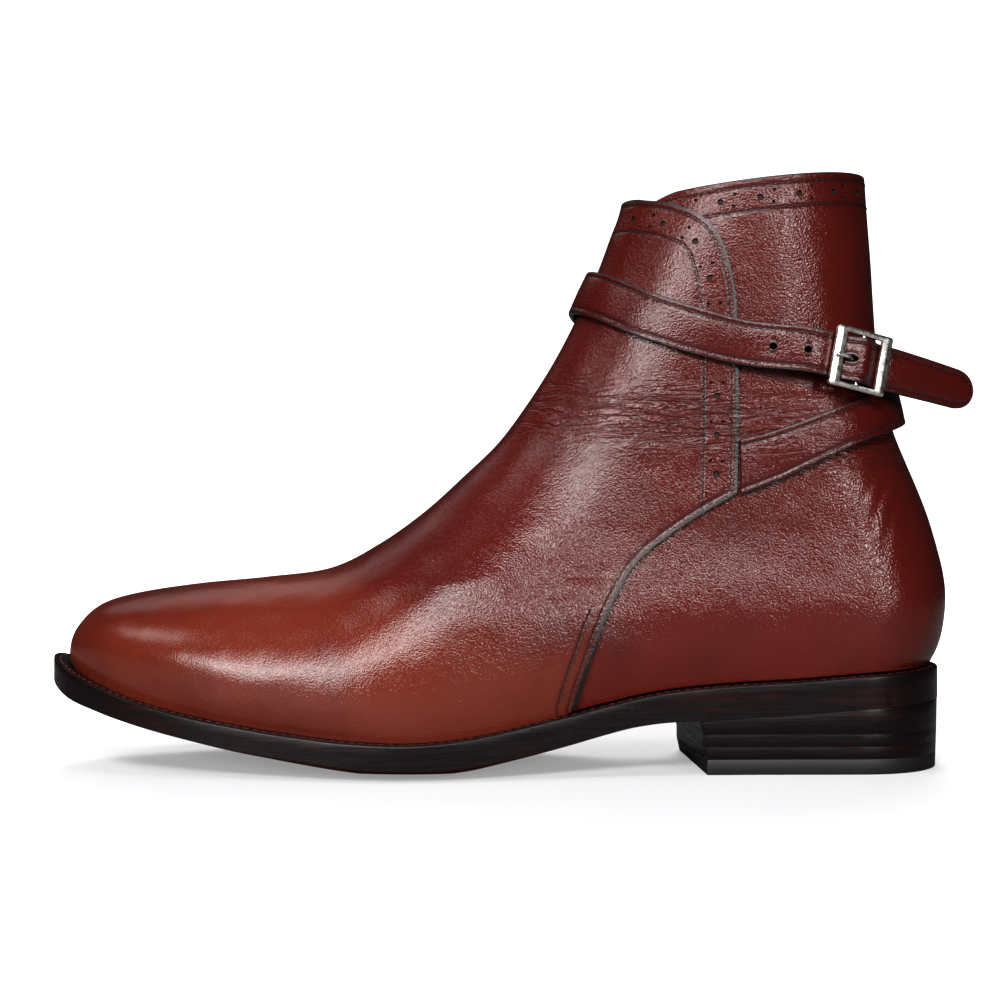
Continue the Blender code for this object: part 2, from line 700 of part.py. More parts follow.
def strap_stations():
    """Middle line of the long strap, the way that its face looks, and its width: round the shaft,
    under the buckle's first bar, over its middle bar, under its last bar, and the free tail."""
    half = STRAP_THICKNESS / 2
    stations = []
    for degrees, z, stand_off, width in STRAP_PATH:
        point, outward = shaft_point(degrees, z * UP, stand_off)
        stations.append((point + outward * half, outward, width))
    outward = buckle_axes()[2]
    reach, window = FRAME_LENGTH / 2, FRAME_LENGTH / 2 - END_BAR
    under = -(FRAME_THICKNESS / 2 + GAP + half)
    over = MIDDLE_BAR_RADIUS - MIDDLE_BAR_DROP + GAP + half
    for along, out in (
        (-reach - 0.0030, under - 0.0003),
        (-window, under - 0.0003),
        (-window * 0.5, under + (over - under) * 0.5),
        (-0.0009, over),
        (0.0009, over),
        (window * 0.5, under + (over - under) * 0.5),
        (window, under - 0.0003),
        (reach + 0.0030, under - 0.0003),
    ):
        stations.append((by_buckle(along, out), outward, TAIL_WIDTH))
    last = stations[-1][0]
    run = buckle_axes()[0]
    steps = 6
    length = TAIL_LENGTH - reach - 0.0030
    for step in range(1, steps + 1):
        turn = Matrix.Rotation(TAIL_CURL * step / steps, 3, "Z")
        last = last + turn @ run * length / steps
        width = TAIL_WIDTH + (TAIL_END_WIDTH - TAIL_WIDTH) * step / steps
        stations.append((last.copy(), turn @ outward, width))
    return stations


def smooth_path(stations, step):
    """Points, facings and widths along a smooth curve through the stations, with every station
    kept and no stretch longer than a step, and their distances along it."""
    given = np.array([(*point, *facing, width) for point, facing, width in stations])
    reach = np.concatenate([[0], np.cumsum(np.linalg.norm(np.diff(given[:, :3], axis=0), axis=1))])
    at = [0.0]
    for start, end in zip(reach, reach[1:]):
        pieces = math.ceil((end - start) / step)
        at += [start + (end - start) * (k + 1) / pieces for k in range(pieces)]
    fine = np.stack([curve(reach, given[:, k], at) for k in range(7)], axis=1)
    return fine[:, :3], fine[:, 3:6], fine[:, 6], np.array(at)


def strap_sheet(name, stations, step, thickness, across, material, round_end):
    """A flat strap along its stations. Its root is cut upright, and its tip is rounded."""
    points, faces, widths, at = smooth_path(stations, step)
    count = len(points) - 1
    ways = np.gradient(points, axis=0)
    ways /= np.linalg.norm(ways, axis=1)[:, None]
    sides = np.cross(faces, ways)
    sides /= np.linalg.norm(sides, axis=1)[:, None]
    sides *= np.sign(sides[:, 2])[:, None]
    upright = (1 - ease(0, ROOT_UPRIGHT, at))[:, None]
    lean = ways * (-sides[:, :1] * np.sign(ways[:, :1]))
    sides = sides + lean * upright
    widths = widths * (rounded((at[-1] - at + 0.0004) / round_end) if round_end else 1)

    def place(u, v):
        i = int(round(u * count))
        return Vector(points[i] + sides[i] * (v - 0.5) * widths[i])

    strap = new_object(name, finish_mesh(name, grid(count, across, place)), material)
    wall = thicken(strap, thickness, 0)
    wall.use_even_offset = False
    return strap


def make_strap(material):
    strap = strap_sheet("strap", strap_stations(), 0.0044, STRAP_THICKNESS, 3, material, 0.0085)
    shape = bmesh.new()
    for along, half_length, half_width in STRAP_HOLES:
        centre, way, facing = hole_place(along)
        axes = Matrix((way, facing.cross(way), facing)).transposed().to_4x4()
        bmesh.ops.create_cone(
            shape,
            cap_ends=True,
            segments=14,
            radius1=half_width,
            radius2=half_width,
            depth=0.012,
            matrix=Matrix.Translation(centre)
            @ axes
            @ Matrix.Diagonal((half_length / half_width, 1, 1, 1)),
        )
    cutter = bpy.data.objects.new("strap_punch", finish_mesh("strap_punch", shape))
    bpy.context.scene.collection.objects.link(cutter)
    cutter.hide_render = True
    cutter.display_type = "WIRE"
    punch = strap.modifiers.new("Holes", "BOOLEAN")
    punch.operation = "DIFFERENCE"
    punch.object = cutter
    return strap


def hole_place(along):
    """Place of a punched hole along the strap from the buckle's centre, and the strap's way and
    facing there."""
    points, faces, _, at = smooth_path(strap_stations(), 0.0010)
    start = int(np.argmin([(Vector(point) - BUCKLE_CENTRE).length for point in points]))
    i = int(np.argmin(abs(at - at[start] - along)))
    way = Vector(points[i + 1] - points[i - 1]).normalized()
    facing = Vector(faces[i])
    facing = (facing - way * facing.dot(way)).normalized()
    return Vector(points[i]), way, facing


def make_buckle_strap(material):
    """The short strap: from the inner side round the calf, under the long strap's tail, to the
    buckle's middle bar."""
    half = BUCKLE_STRAP_THICKNESS / 2
    stations = []
    for degrees, z, stand_off, width in BUCKLE_STRAP_PATH:
        point, outward = shaft_point(degrees, z * UP, stand_off)
        stations.append((point + outward * half, outward, width))
    outward = buckle_axes()[2]
    under = -(FRAME_THICKNESS / 2 + 2 * GAP + STRAP_THICKNESS + half)
    bar = -(MIDDLE_BAR_DROP + MIDDLE_BAR_RADIUS + GAP + half)
    for along, out in (
        (FRAME_LENGTH / 2 + 0.0020, under - 0.0008),
        (FRAME_LENGTH / 2 - 0.0040, under - 0.0002),
        (0.0016, under + (bar - under) * 0.4),
    ):
        stations.append((by_buckle(along, out), outward, 0.0130))
    return strap_sheet("buckle_strap", stations, 0.0042, BUCKLE_STRAP_THICKNESS, 2, material, 0)


def make_buckle(material):
    run, across, outward = buckle_axes()
    axes = Matrix((run, across, outward)).transposed().to_4x4()
    place = Matrix.Translation(BUCKLE_CENTRE) @ axes

    def block(name, length, height, thickness):
        shape = bmesh.new()
        bmesh.ops.create_cube(shape, size=1.0, matrix=place @ Matrix.Diagonal((length, height, thickness, 1)))
        return shape

    frame = new_object(
        "buckle_frame",
        finish_mesh("buckle_frame", block("frame", FRAME_LENGTH, FRAME_HEIGHT, FRAME_THICKNESS), False),
        material,
    )
    window = bpy.data.objects.new(
        "buckle_window",
        finish_mesh(
            "buckle_window",
            block("window", FRAME_LENGTH - 2 * END_BAR, FRAME_HEIGHT - 2 * SIDE_BAR, 0.01),
            False,
        ),
    )
    bar_shape = bmesh.new()
    tilt = Matrix.Rotation(math.radians(90), 4, "X")
    bmesh.ops.create_cone(
        bar_shape,
        cap_ends=True,
        segments=12,
        radius1=MIDDLE_BAR_RADIUS,
        radius2=MIDDLE_BAR_RADIUS,
        depth=FRAME_HEIGHT - SIDE_BAR,
        matrix=place @ Matrix.Translation((0, 0, -MIDDLE_BAR_DROP)) @ tilt,
    )
    bar = bpy.data.objects.new("buckle_middle_bar", finish_mesh("buckle_middle_bar", bar_shape))
    for helper, operation in ((window, "DIFFERENCE"), (bar, "UNION")):
        bpy.context.scene.collection.objects.link(helper)
        helper.hide_render = True
        helper.display_type = "WIRE"
        step = frame.modifiers.new(operation.title(), "BOOLEAN")
        step.operation = operation
        step.object = helper
    return frame


def make_prong(material):
    """The prong: from beside the middle bar, up through the strap's hole, onto the first bar."""
    reach = FRAME_LENGTH / 2
    rest = FRAME_THICKNESS / 2 + GAP + PRONG_RADIUS
    hole = STRAP_HOLES[0][0] + 0.0008
    points = (
        by_buckle(-MIDDLE_BAR_RADIUS - GAP - PRONG_RADIUS, -0.0015),
        by_buckle(hole + 0.0006, -0.0018),
        by_buckle(hole, -0.0006),
        by_buckle(hole - 0.0012, 0.0012),
        by_buckle(hole - 0.0026, rest),
        by_buckle(-reach + END_BAR * 0.9, rest),
        by_buckle(-reach + 0.0002, rest),
    )
    data = bpy.data.curves.new("buckle_prong", "CURVE")
    data.dimensions = "3D"
    data.bevel_depth = PRONG_RADIUS
    data.bevel_resolution = 2
    data.use_fill_caps = True
    spline = data.splines.new("POLY")
    spline.points.add(len(points) - 1)
    for target, point in zip(spline.points, points):
        target.co = (*point, 1)
    prong = bpy.data.objects.new("buckle_prong", data)
    data.materials.append(material)
    bpy.context.scene.collection.objects.link(prong)
    return prong


def main():
    clear_scene()
    vamp_leather = leather("vamp_leather", (0.30, 0.050, 0.020), 0.30)
    quarter_leather = leather("quarter_leather", (0.23, 0.036, 0.018), 0.32)
    strap_leather = leather("strap_leather", (0.20, 0.032, 0.018), 0.36)
    sole_leather = leather("sole_leather", (0.022, 0.010, 0.009), 0.38)
    lift_leather = leather("lift_leather", (0.020, 0.009, 0.009), 0.36)
    rubber = leather("top_piece_rubber", (0.012, 0.012, 0.012), 0.50)
    board = leather("insole_leather", (0.42, 0.26, 0.15), 0.60)
    steel = metal("buckle_metal", (0.75, 0.73, 0.70), 0.20)
    make_outsole(sole_leather)
    make_welt(sole_leather)
    make_insole(board)
    make_heel(lift_leather, rubber)
    make_upper(quarter_leather)
    make_front_panel(vamp_leather)
    make_strap(strap_leather)
    make_buckle_strap(strap_leather)
    make_buckle(steel)
    make_prong(steel)


main()
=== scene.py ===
"""Jodhpur boot, left foot: the finished looks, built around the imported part.

Metres, +Z up, floor at z = 0. The toe points to -X and the outer side of the foot faces -Y."""

import math

import bmesh
import bpy
import numpy as np
from mathutils import Matrix, Vector


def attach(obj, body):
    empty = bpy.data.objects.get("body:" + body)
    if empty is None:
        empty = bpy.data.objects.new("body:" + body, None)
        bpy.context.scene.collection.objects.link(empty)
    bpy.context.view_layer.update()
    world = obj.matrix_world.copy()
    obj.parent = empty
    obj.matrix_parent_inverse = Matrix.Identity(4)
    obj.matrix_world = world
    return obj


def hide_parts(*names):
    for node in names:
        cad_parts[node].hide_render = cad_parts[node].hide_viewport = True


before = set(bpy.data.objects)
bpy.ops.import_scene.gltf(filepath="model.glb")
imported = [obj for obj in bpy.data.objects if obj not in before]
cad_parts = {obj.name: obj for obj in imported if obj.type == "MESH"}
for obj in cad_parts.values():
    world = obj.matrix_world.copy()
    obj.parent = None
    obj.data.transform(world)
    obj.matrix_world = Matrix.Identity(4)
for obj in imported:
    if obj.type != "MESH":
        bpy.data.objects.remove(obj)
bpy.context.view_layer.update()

# Studio: a white floor, lit by large soft boxes. The camera stands
# level beside the boot, at half its height.
CAMERA_PLACE = (-0.107, -0.650, 0.090)
CAMERA_LENS = 67.86
BOOT_MIDDLE = (-0.10, 0.0, 0.08)


def plain_material(name, colour, roughness):
    material = bpy.data.materials.new(name)
    material.use_nodes = True
    shader = material.node_tree.nodes["Principled BSDF"]
    shader.inputs["Base Color"].default_value = (*colour, 1)
    shader.inputs["Roughness"].default_value = roughness
    return material


def floor_paper():
    """White paper that keeps its shadows beside the boot and burns out to pure white far away.
    Only the camera sees it white, so that the boot's dark leather doesn't mirror it."""
    material = plain_material("floor_paper", (0.80, 0.80, 0.80), 0.7)
    nodes, links = material.node_tree.nodes, material.node_tree.links
    place = nodes.new("ShaderNodeTexCoord")
    away = nodes.new("ShaderNodeVectorMath")
    away.operation = "DISTANCE"
    away.inputs[1].default_value = (-0.10, 0.0, 0.0)
    glow = nodes.new("ShaderNodeMapRange")
    glow.interpolation_type = "SMOOTHSTEP"
    for socket, value in (("From Min", 0.12), ("From Max", 0.42), ("To Min", 0.25), ("To Max", 1.1)):
        glow.inputs[socket].default_value = value
    seen = nodes.new("ShaderNodeLightPath")
    strength = nodes.new("ShaderNodeMath")
    strength.operation = "MULTIPLY"
    links.new(place.outputs["Object"], away.inputs[0])
    links.new(away.outputs["Value"], glow.inputs["Value"])
    links.new(glow.outputs["Result"], strength.inputs[0])
    links.new(seen.outputs["Is Camera Ray"], strength.inputs[1])
    shader = nodes["Principled BSDF"]
    paper = nodes.new("ShaderNodeMix")
    paper.data_type = "RGBA"
    paper.inputs["A"].default_value = (0.10, 0.10, 0.10, 1)
    paper.inputs["B"].default_value = (0.33, 0.33, 0.34, 1)
    links.new(seen.outputs["Is Camera Ray"], paper.inputs["Factor"])
    links.new(paper.outputs["Result"], shader.inputs["Base Color"])
    shader.inputs["Emission Color"].default_value = (1, 1, 1, 1)
    links.new(strength.outputs[0], shader.inputs["Emission Strength"])
    return material


def build_studio_floor():
    shape = bmesh.new()
    bmesh.ops.create_grid(shape, x_segments=1, y_segments=1, size=3.0)
    mesh = bpy.data.meshes.new("studio_floor")
    shape.to_mesh(mesh)
    shape.free()
    floor = bpy.data.objects.new("studio_floor", mesh)
    bpy.context.scene.collection.objects.link(floor)
    mesh.materials.append(floor_paper())


def soft_box(name, place, aim, width, height, power, mirrored=True):
    """A soft box: nested rectangles of light, brightest in the middle. One that isn't mirrored
    lights the boot without showing in its polish."""
    for number, share in enumerate((1.0, 0.8, 0.6, 0.4)):
        light = bpy.data.lights.new(f"{name}_{number}", "AREA")
        light.shape = "RECTANGLE"
        light.size, light.size_y = width * share, height * share
        light.energy = power / 4
        lamp = bpy.data.objects.new(light.name, light)
        lamp.location = place
        lamp.rotation_euler = (Vector(aim) - Vector(place)).to_track_quat("-Z", "Y").to_euler()
        lamp.visible_glossy = mirrored
        bpy.context.scene.collection.objects.link(lamp)


def light_studio():
    world = bpy.data.worlds.new("studio_air")
    world.use_nodes = True
    sky = world.node_tree.nodes["Background"]
    sky.inputs["Color"].default_value = (1, 1, 1, 1)
    seen = world.node_tree.nodes.new("ShaderNodeLightPath")
    level = world.node_tree.nodes.new("ShaderNodeMapRange")
    level.inputs["To Min"].default_value = 0.03
    level.inputs["To Max"].default_value = 1.0
    world.node_tree.links.new(seen.outputs["Is Camera Ray"], level.inputs["Value"])
    world.node_tree.links.new(level.outputs["Result"], sky.inputs["Strength"])
    bpy.context.scene.world = world
    soft_box("front_box", (-0.22, -0.96, 0.62), BOOT_MIDDLE, 0.70, 0.36, 14)
    soft_box("toe_box", (-0.61, -0.83, 0.32), BOOT_MIDDLE, 0.36, 0.26, 6.0)
    soft_box("left_box", (-0.98, -0.31, 0.98), BOOT_MIDDLE, 0.46, 0.40, 4.5)
    soft_box("right_box", (0.40, -0.87, 0.34), BOOT_MIDDLE, 0.20, 0.20, 4.4)
    soft_box("rear_box", (-0.35, 0.80, 0.85), BOOT_MIDDLE, 0.90, 0.50, 2.4)
    soft_box("back_box", (0.05, 1.00, 0.60), BOOT_MIDDLE, 0.90, 0.50, 20, mirrored=False)
    soft_box("top_box", (-0.10, -0.10, 1.25), BOOT_MIDDLE, 0.70, 0.50, 3.5)


def place_camera():
    data = bpy.data.cameras.new("studio_camera")
    data.sensor_width = 36
    data.lens = CAMERA_LENS
    camera = bpy.data.objects.new("studio_camera", data)
    camera.location = CAMERA_PLACE
    camera.rotation_euler = (math.radians(90), 0, 0)
    bpy.context.scene.collection.objects.link(camera)
    bpy.context.scene.camera = camera


bpy.context.scene.view_settings.view_transform = "Standard"
bpy.context.scene.view_settings.look = "High Contrast"
build_studio_floor()
light_studio()
place_camera()

# Insole: the board that the foot stands on, cut to the feather line where the upper turns under,
# and covered with a smooth tan sock. The feather line's plan and the side line of the sole, which
# every other piece follows, are drawn here.
LATERAL, MEDIAL = -1, 1
GAP = 0.0003
FEATHER_GAP = 0.0005
WALL = 0.0024
INSOLE_THICKNESS = 0.0025
TOE_X, HEEL_X = -0.2539, 0.0400
TOE_ROUND, HEEL_ROUND = 0.062, 0.030

PLAN = (
    # x, outer half width, inner half width, middle line
    (-0.2560, 0.0350, 0.0300, 0.0060),
    (-0.2400, 0.0362, 0.0318, 0.0056),
    (-0.2200, 0.0385, 0.0342, 0.0052),
    (-0.2000, 0.0415, 0.0362, 0.0048),
    (-0.1800, 0.0450, 0.0380, 0.0044),
    (-0.1600, 0.0483, 0.0392, 0.0038),
    (-0.1450, 0.0494, 0.0388, 0.0032),
    (-0.1300, 0.0484, 0.0372, 0.0028),
    (-0.1100, 0.0442, 0.0332, 0.0022),
    (-0.0900, 0.0389, 0.0286, 0.0014),
    (-0.0700, 0.0345, 0.0262, 0.0008),
    (-0.0500, 0.0320, 0.0262, 0.0003),
    (-0.0250, 0.0308, 0.0280, 0.0000),
    (0.0000, 0.0306, 0.0296, 0.0000),
    (0.0400, 0.0304, 0.0300, 0.0000),
)
SIDE_LINE = (
    # x, welt top, edge underside, middle underside
    (-0.2620, 0.0374, 0.0292, 0.0282),
    (-0.2550, 0.0340, 0.0248, 0.0236),
    (-0.2410, 0.0284, 0.0202, 0.0186),
    (-0.2290, 0.0246, 0.0170, 0.0150),
    (-0.2170, 0.0217, 0.0143, 0.0119),
    (-0.2050, 0.0192, 0.0119, 0.0091),
    (-0.1930, 0.0172, 0.0096, 0.0065),
    (-0.1820, 0.0155, 0.0080, 0.0045),
    (-0.1710, 0.0142, 0.0066, 0.0026),
    (-0.1600, 0.0130, 0.0053, 0.0009),
    (-0.1490, 0.0123, 0.0043, -0.0004),
    (-0.1380, 0.0120, 0.0038, -0.0008),
    (-0.1275, 0.0124, 0.0039, -0.0004),
    (-0.1160, 0.0138, 0.0049, 0.0010),
    (-0.1060, 0.0156, 0.0065, 0.0033),
    (-0.0940, 0.0182, 0.0089, 0.0062),
    (-0.0840, 0.0203, 0.0111, 0.0088),
    (-0.0740, 0.0227, 0.0136, 0.0116),
    (-0.0640, 0.0250, 0.0159, 0.0142),
    (-0.0540, 0.0269, 0.0172, 0.0158),
    (-0.0410, 0.0284, 0.0177, 0.0170),
    (-0.0270, 0.0295, 0.0187, 0.0187),
    (-0.0090, 0.0305, 0.0197, 0.0197),
    (0.0100, 0.0321, 0.0213, 0.0213),
    (0.0310, 0.0334, 0.0226, 0.0226),
    (0.0430, 0.0342, 0.0234, 0.0234),
)


def column(table, index):
    return np.array([row[index] for row in table])


def curve(xs, ys, x):
    """Smooth curve through the points (xs, ys), each slope taken from the point's neighbours."""
    slopes = np.gradient(ys, xs)
    x = np.clip(np.asarray(x, float), xs[0], xs[-1])
    i = np.clip(np.searchsorted(xs, x, side="right") - 1, 0, len(xs) - 2)
    step = xs[i + 1] - xs[i]
    u = (x - xs[i]) / step
    rise = ys[i + 1] - ys[i]
    bend_in = slopes[i] * step - rise
    bend_out = rise - slopes[i + 1] * step
    return ys[i] + u * rise + u * (1 - u) * ((1 - u) * bend_in + u * bend_out)


def ease(low, high, x):
    u = np.clip((np.asarray(x, float) - low) / (high - low), 0, 1)
    return u * u * (3 - 2 * u)


def rounded(u):
    """Rises from 0 to 1 as the edge of a round does, and stays there."""
    return np.sqrt(np.clip(1 - (1 - np.clip(u, 0, 1)) ** 2.3, 0, 1))


def middle_line(x):
    return curve(column(PLAN, 0), column(PLAN, 3), x)


def plan_width(x, side):
    """Half width of the feather line, rounded off at the toe."""
    outer = curve(column(PLAN, 0), column(PLAN, 1), x)
    inner = curve(column(PLAN, 0), column(PLAN, 2), x)
    return np.where(side == LATERAL, outer, inner) * rounded((x - TOE_X) / TOE_ROUND)


def welt_top(x):
    return curve(column(SIDE_LINE, 0), column(SIDE_LINE, 1), x)


def feather_edge(turn, out=0.0):
    """Plan points of the feather line, moved outwards by out. Turn is 0 at the toe, a quarter on
    the outer side and a half at the heel."""

    def feather(t):
        s = (1 - np.cos(2 * math.pi * t)) / 2
        side = np.where(np.sin(2 * math.pi * t) >= 0, LATERAL, MEDIAL)
        x = TOE_X * (1 - s) + HEEL_X * s
        width = plan_width(x, side) * rounded((HEEL_X - x) / HEEL_ROUND)
        return np.stack([x, middle_line(x) + side * width], axis=-1)

    turn = np.asarray(turn, float)
    along = feather(turn + 0.004) - feather(turn - 0.004)
    outward = np.stack([along[..., 1], -along[..., 0]], axis=-1)
    outward /= np.linalg.norm(outward, axis=-1, keepdims=True)
    return feather(turn) + outward * np.asarray(out)[..., None]


def grid_shape(columns, rows, place):
    """A sheet of quads. place(u, v) gives the points for shares u and v of its width and height."""
    shape = bmesh.new()
    bmesh.ops.create_grid(shape, x_segments=columns, y_segments=rows, size=0.5)
    shares = np.round(np.array([vertex.co[:2] for vertex in shape.verts]) + 0.5, 7)
    for vertex, point in zip(shape.verts, place(shares[:, 0], shares[:, 1])):
        vertex.co = point
    return shape


def close_seams(shape, distance=2e-6):
    bmesh.ops.remove_doubles(shape, verts=shape.verts, dist=distance)
    bmesh.ops.dissolve_degenerate(shape, edges=shape.edges, dist=1e-7)
    bmesh.ops.recalc_face_normals(shape, faces=shape.faces)


def link_piece(name, shape, *materials, sharp=40):
    """Makes a piece of a finished shape, smooth but for its sharp edges."""
    mesh = bpy.data.meshes.new(name)
    shape.to_mesh(mesh)
    shape.free()
    mesh.shade_smooth()
    mesh.set_sharp_from_angle(angle=math.radians(sharp))
    for material in materials:
        mesh.materials.append(material)
    piece = bpy.data.objects.new(name, mesh)
    bpy.context.scene.collection.objects.link(piece)
    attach(piece, "root")
    return piece


def slab_shape(columns, across, top, bottom):
    """A closed slab. top(u, v) and bottom(u, v) give the points of its two faces, for shares u of
    its length and v of its width."""
    shape = grid_shape(columns, across, lambda u, v: np.column_stack([u, v, 0 * u]))
    drawn = bmesh.ops.extrude_face_region(shape, geom=list(shape.faces), use_keep_orig=True)
    lower = {part for part in drawn["geom"] if isinstance(part, bmesh.types.BMVert)}
    upper = [vertex for vertex in shape.verts if vertex not in lower]
    for vertices, place in ((upper, top), (list(lower), bottom)):
        shares = np.round(np.array([vertex.co[:2] for vertex in vertices]), 7)
        for vertex, point in zip(vertices, place(shares[:, 0], shares[:, 1])):
            vertex.co = point
    close_seams(shape)
    return shape


def between(edges, height):
    """A face for slab_shape: it spans two plan lines, at a height given at (x, share across)."""

    def place(u, v):
        outer, inner = edges(u)
        point = outer * (1 - v[:, None]) + inner * v[:, None]
        return np.column_stack([point, height(point[:, 0], 2 * v - 1)])

    return place


def surface_leather(name, colour, roughness, grain_scale, grain_depth):
    """Plain smooth leather with a fine grain, for linings and boards."""
    material = bpy.data.materials.new(name)
    material.use_nodes = True
    nodes, links = material.node_tree.nodes, material.node_tree.links
    shader = nodes["Principled BSDF"]
    shader.inputs["Roughness"].default_value = roughness
    place = nodes.new("ShaderNodeTexCoord")
    cloud = nodes.new("ShaderNodeTexNoise")
    cloud.inputs["Scale"].default_value = 60
    cloud.inputs["Detail"].default_value = 4
    tone = nodes.new("ShaderNodeMix")
    tone.data_type = "RGBA"
    tone.inputs["A"].default_value = (*[c * 0.78 for c in colour], 1)
    tone.inputs["B"].default_value = (*[min(1, c * 1.12) for c in colour], 1)
    pores = nodes.new("ShaderNodeTexNoise")
    pores.inputs["Scale"].default_value = grain_scale
    pores.inputs["Detail"].default_value = 6
    bump = nodes.new("ShaderNodeBump")
    bump.inputs["Strength"].default_value = 0.6
    bump.inputs["Distance"].default_value = grain_depth
    links.new(place.outputs["Object"], cloud.inputs["Vector"])
    links.new(place.outputs["Object"], pores.inputs["Vector"])
    links.new(cloud.outputs["Fac"], tone.inputs["Factor"])
    links.new(tone.outputs["Result"], shader.inputs["Base Color"])
    links.new(pores.outputs["Fac"], bump.inputs["Height"])
    links.new(bump.outputs["Normal"], shader.inputs["Normal"])
    return material


def build_insole():
    inset = -(WALL + 0.0008)

    def edges(u):
        return feather_edge(u / 2, inset), feather_edge(1 - u / 2, inset)

    top = between(edges, lambda x, share: welt_top(x) + GAP + INSOLE_THICKNESS)
    shape = slab_shape(150, 16, top, between(edges, lambda x, share: welt_top(x) + GAP))
    leather = surface_leather("sock_leather", (0.46, 0.27, 0.14), 0.55, 900, 0.0002)
    sock = link_piece("insole_sock", shape, leather)
    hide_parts("insole")


build_insole()

# Upper: quarters of polished calf over a leather lining, drawn over the last and turned under at
# the feather line. Its sections are closed loops from the feather line up to the collar.
SECTIONS = (
    # front x, front z, back x, back z, sag
    (-0.2539, 0.0348, 0.0400, 0.0345, 1.00),
    (-0.2535, 0.0405, 0.0426, 0.0395, 0.95),
    (-0.2509, 0.0463, 0.0443, 0.0450, 0.89),
    (-0.2439, 0.0526, 0.0453, 0.0520, 0.82),
    (-0.2315, 0.0563, 0.0455, 0.0585, 0.74),
    (-0.2107, 0.0594, 0.0446, 0.0660, 0.64),
    (-0.1880, 0.0616, 0.0424, 0.0750, 0.54),
    (-0.1652, 0.0648, 0.0395, 0.0847, 0.43),
    (-0.1480, 0.0732, 0.0360, 0.0938, 0.33),
    (-0.1320, 0.0845, 0.0322, 0.1027, 0.24),
    (-0.1177, 0.0974, 0.0285, 0.1118, 0.16),
    (-0.1059, 0.1089, 0.0256, 0.1215, 0.10),
    (-0.0954, 0.1231, 0.0233, 0.1330, 0.06),
    (-0.0869, 0.1366, 0.0219, 0.1452, 0.03),
    (-0.0797, 0.1503, 0.0210, 0.1580, 0.01),
    (-0.0725, 0.1658, 0.0202, 0.1710, 0.00),
    (-0.0671, 0.1802, 0.0190, 0.1860, 0.00),
    (-0.0645, 0.1870, 0.0180, 0.2000, 0.00),
    (-0.0625, 0.1950, 0.0172, 0.2080, 0.00),
)
COLLAR_ROW = len(SECTIONS) - 2
COLLAR_RISE, COLLAR_PEAK = 0.44, 0.45
SHAFT = (
    # z, half width, shin round, calf round
    (0.0300, 0.0320, 0.0700, 0.0300),
    (0.0560, 0.0325, 0.0650, 0.0330),
    (0.0800, 0.0318, 0.0600, 0.0345),
    (0.1000, 0.0308, 0.0540, 0.0360),
    (0.1200, 0.0308, 0.0500, 0.0385),
    (0.1450, 0.0318, 0.0470, 0.0410),
    (0.1700, 0.0330, 0.0440, 0.0420),
    (0.2100, 0.0346, 0.0420, 0.0420),
)
FORE_SWELL, HEEL_SWELL = 0.0022, 0.0036
FORE_WIDEST, HEEL_WIDEST = 0.012, 0.022

ROWS = np.arange(len(SECTIONS), dtype=float)
FINE_ROWS = np.linspace(0, len(SECTIONS) - 1, 4001)
FINE_FRONT = tuple(curve(ROWS, column(SECTIONS, k), FINE_ROWS) for k in (0, 1))
FINE_BACK = tuple(curve(ROWS, column(SECTIONS, k), FINE_ROWS) for k in (2, 3))


def arch_width(x, z, side):
    """Half width of the forefoot: upright sections that arch over from the feather line."""
    low = welt_top(x) + FEATHER_GAP
    top = np.maximum(np.interp(x, *FINE_FRONT), low + 1e-5)
    widest = low + np.minimum(FORE_WIDEST, 0.4 * (top - low))
    swell = FORE_SWELL * np.minimum(1, (top - low) / FORE_WIDEST)
    below = np.clip((widest - z) / (widest - low), 0, 1)
    above = np.clip((z - widest) / (top - widest), 0, 1)
    return (plan_width(x, side) + swell * (1 - below**2)) * np.sqrt(1 - above**2.25)


def oval_width(x, z, side):
    """Half width of heel, ankle and shaft: level sections, rounded off at shin and calf."""
    low = welt_top(x) + FEATHER_GAP
    up = np.clip((z - low) / HEEL_WIDEST, 0, 2.6)
    swell = np.where(up < 1, up * (2 - up), 1 - ease(1, 2.6, up))
    heel = plan_width(x, side) + HEEL_SWELL * swell
    shaft = curve(column(SHAFT, 0), column(SHAFT, 1), z)
    width = heel + (shaft - heel) * ease(0.050, 0.105, z)
    shin = (x - np.interp(z, *FINE_FRONT[::-1])) / curve(column(SHAFT, 0), column(SHAFT, 2), z)
    calf = (np.interp(z, *FINE_BACK[::-1]) - x) / curve(column(SHAFT, 0), column(SHAFT, 3), z)
    return width * rounded(shin) * rounded(calf)


def half_width(x, z, side):
    share = ease(-0.150, -0.078, x)
    return (1 - share) * arch_width(x, z, side) + share * oval_width(x, z, side)


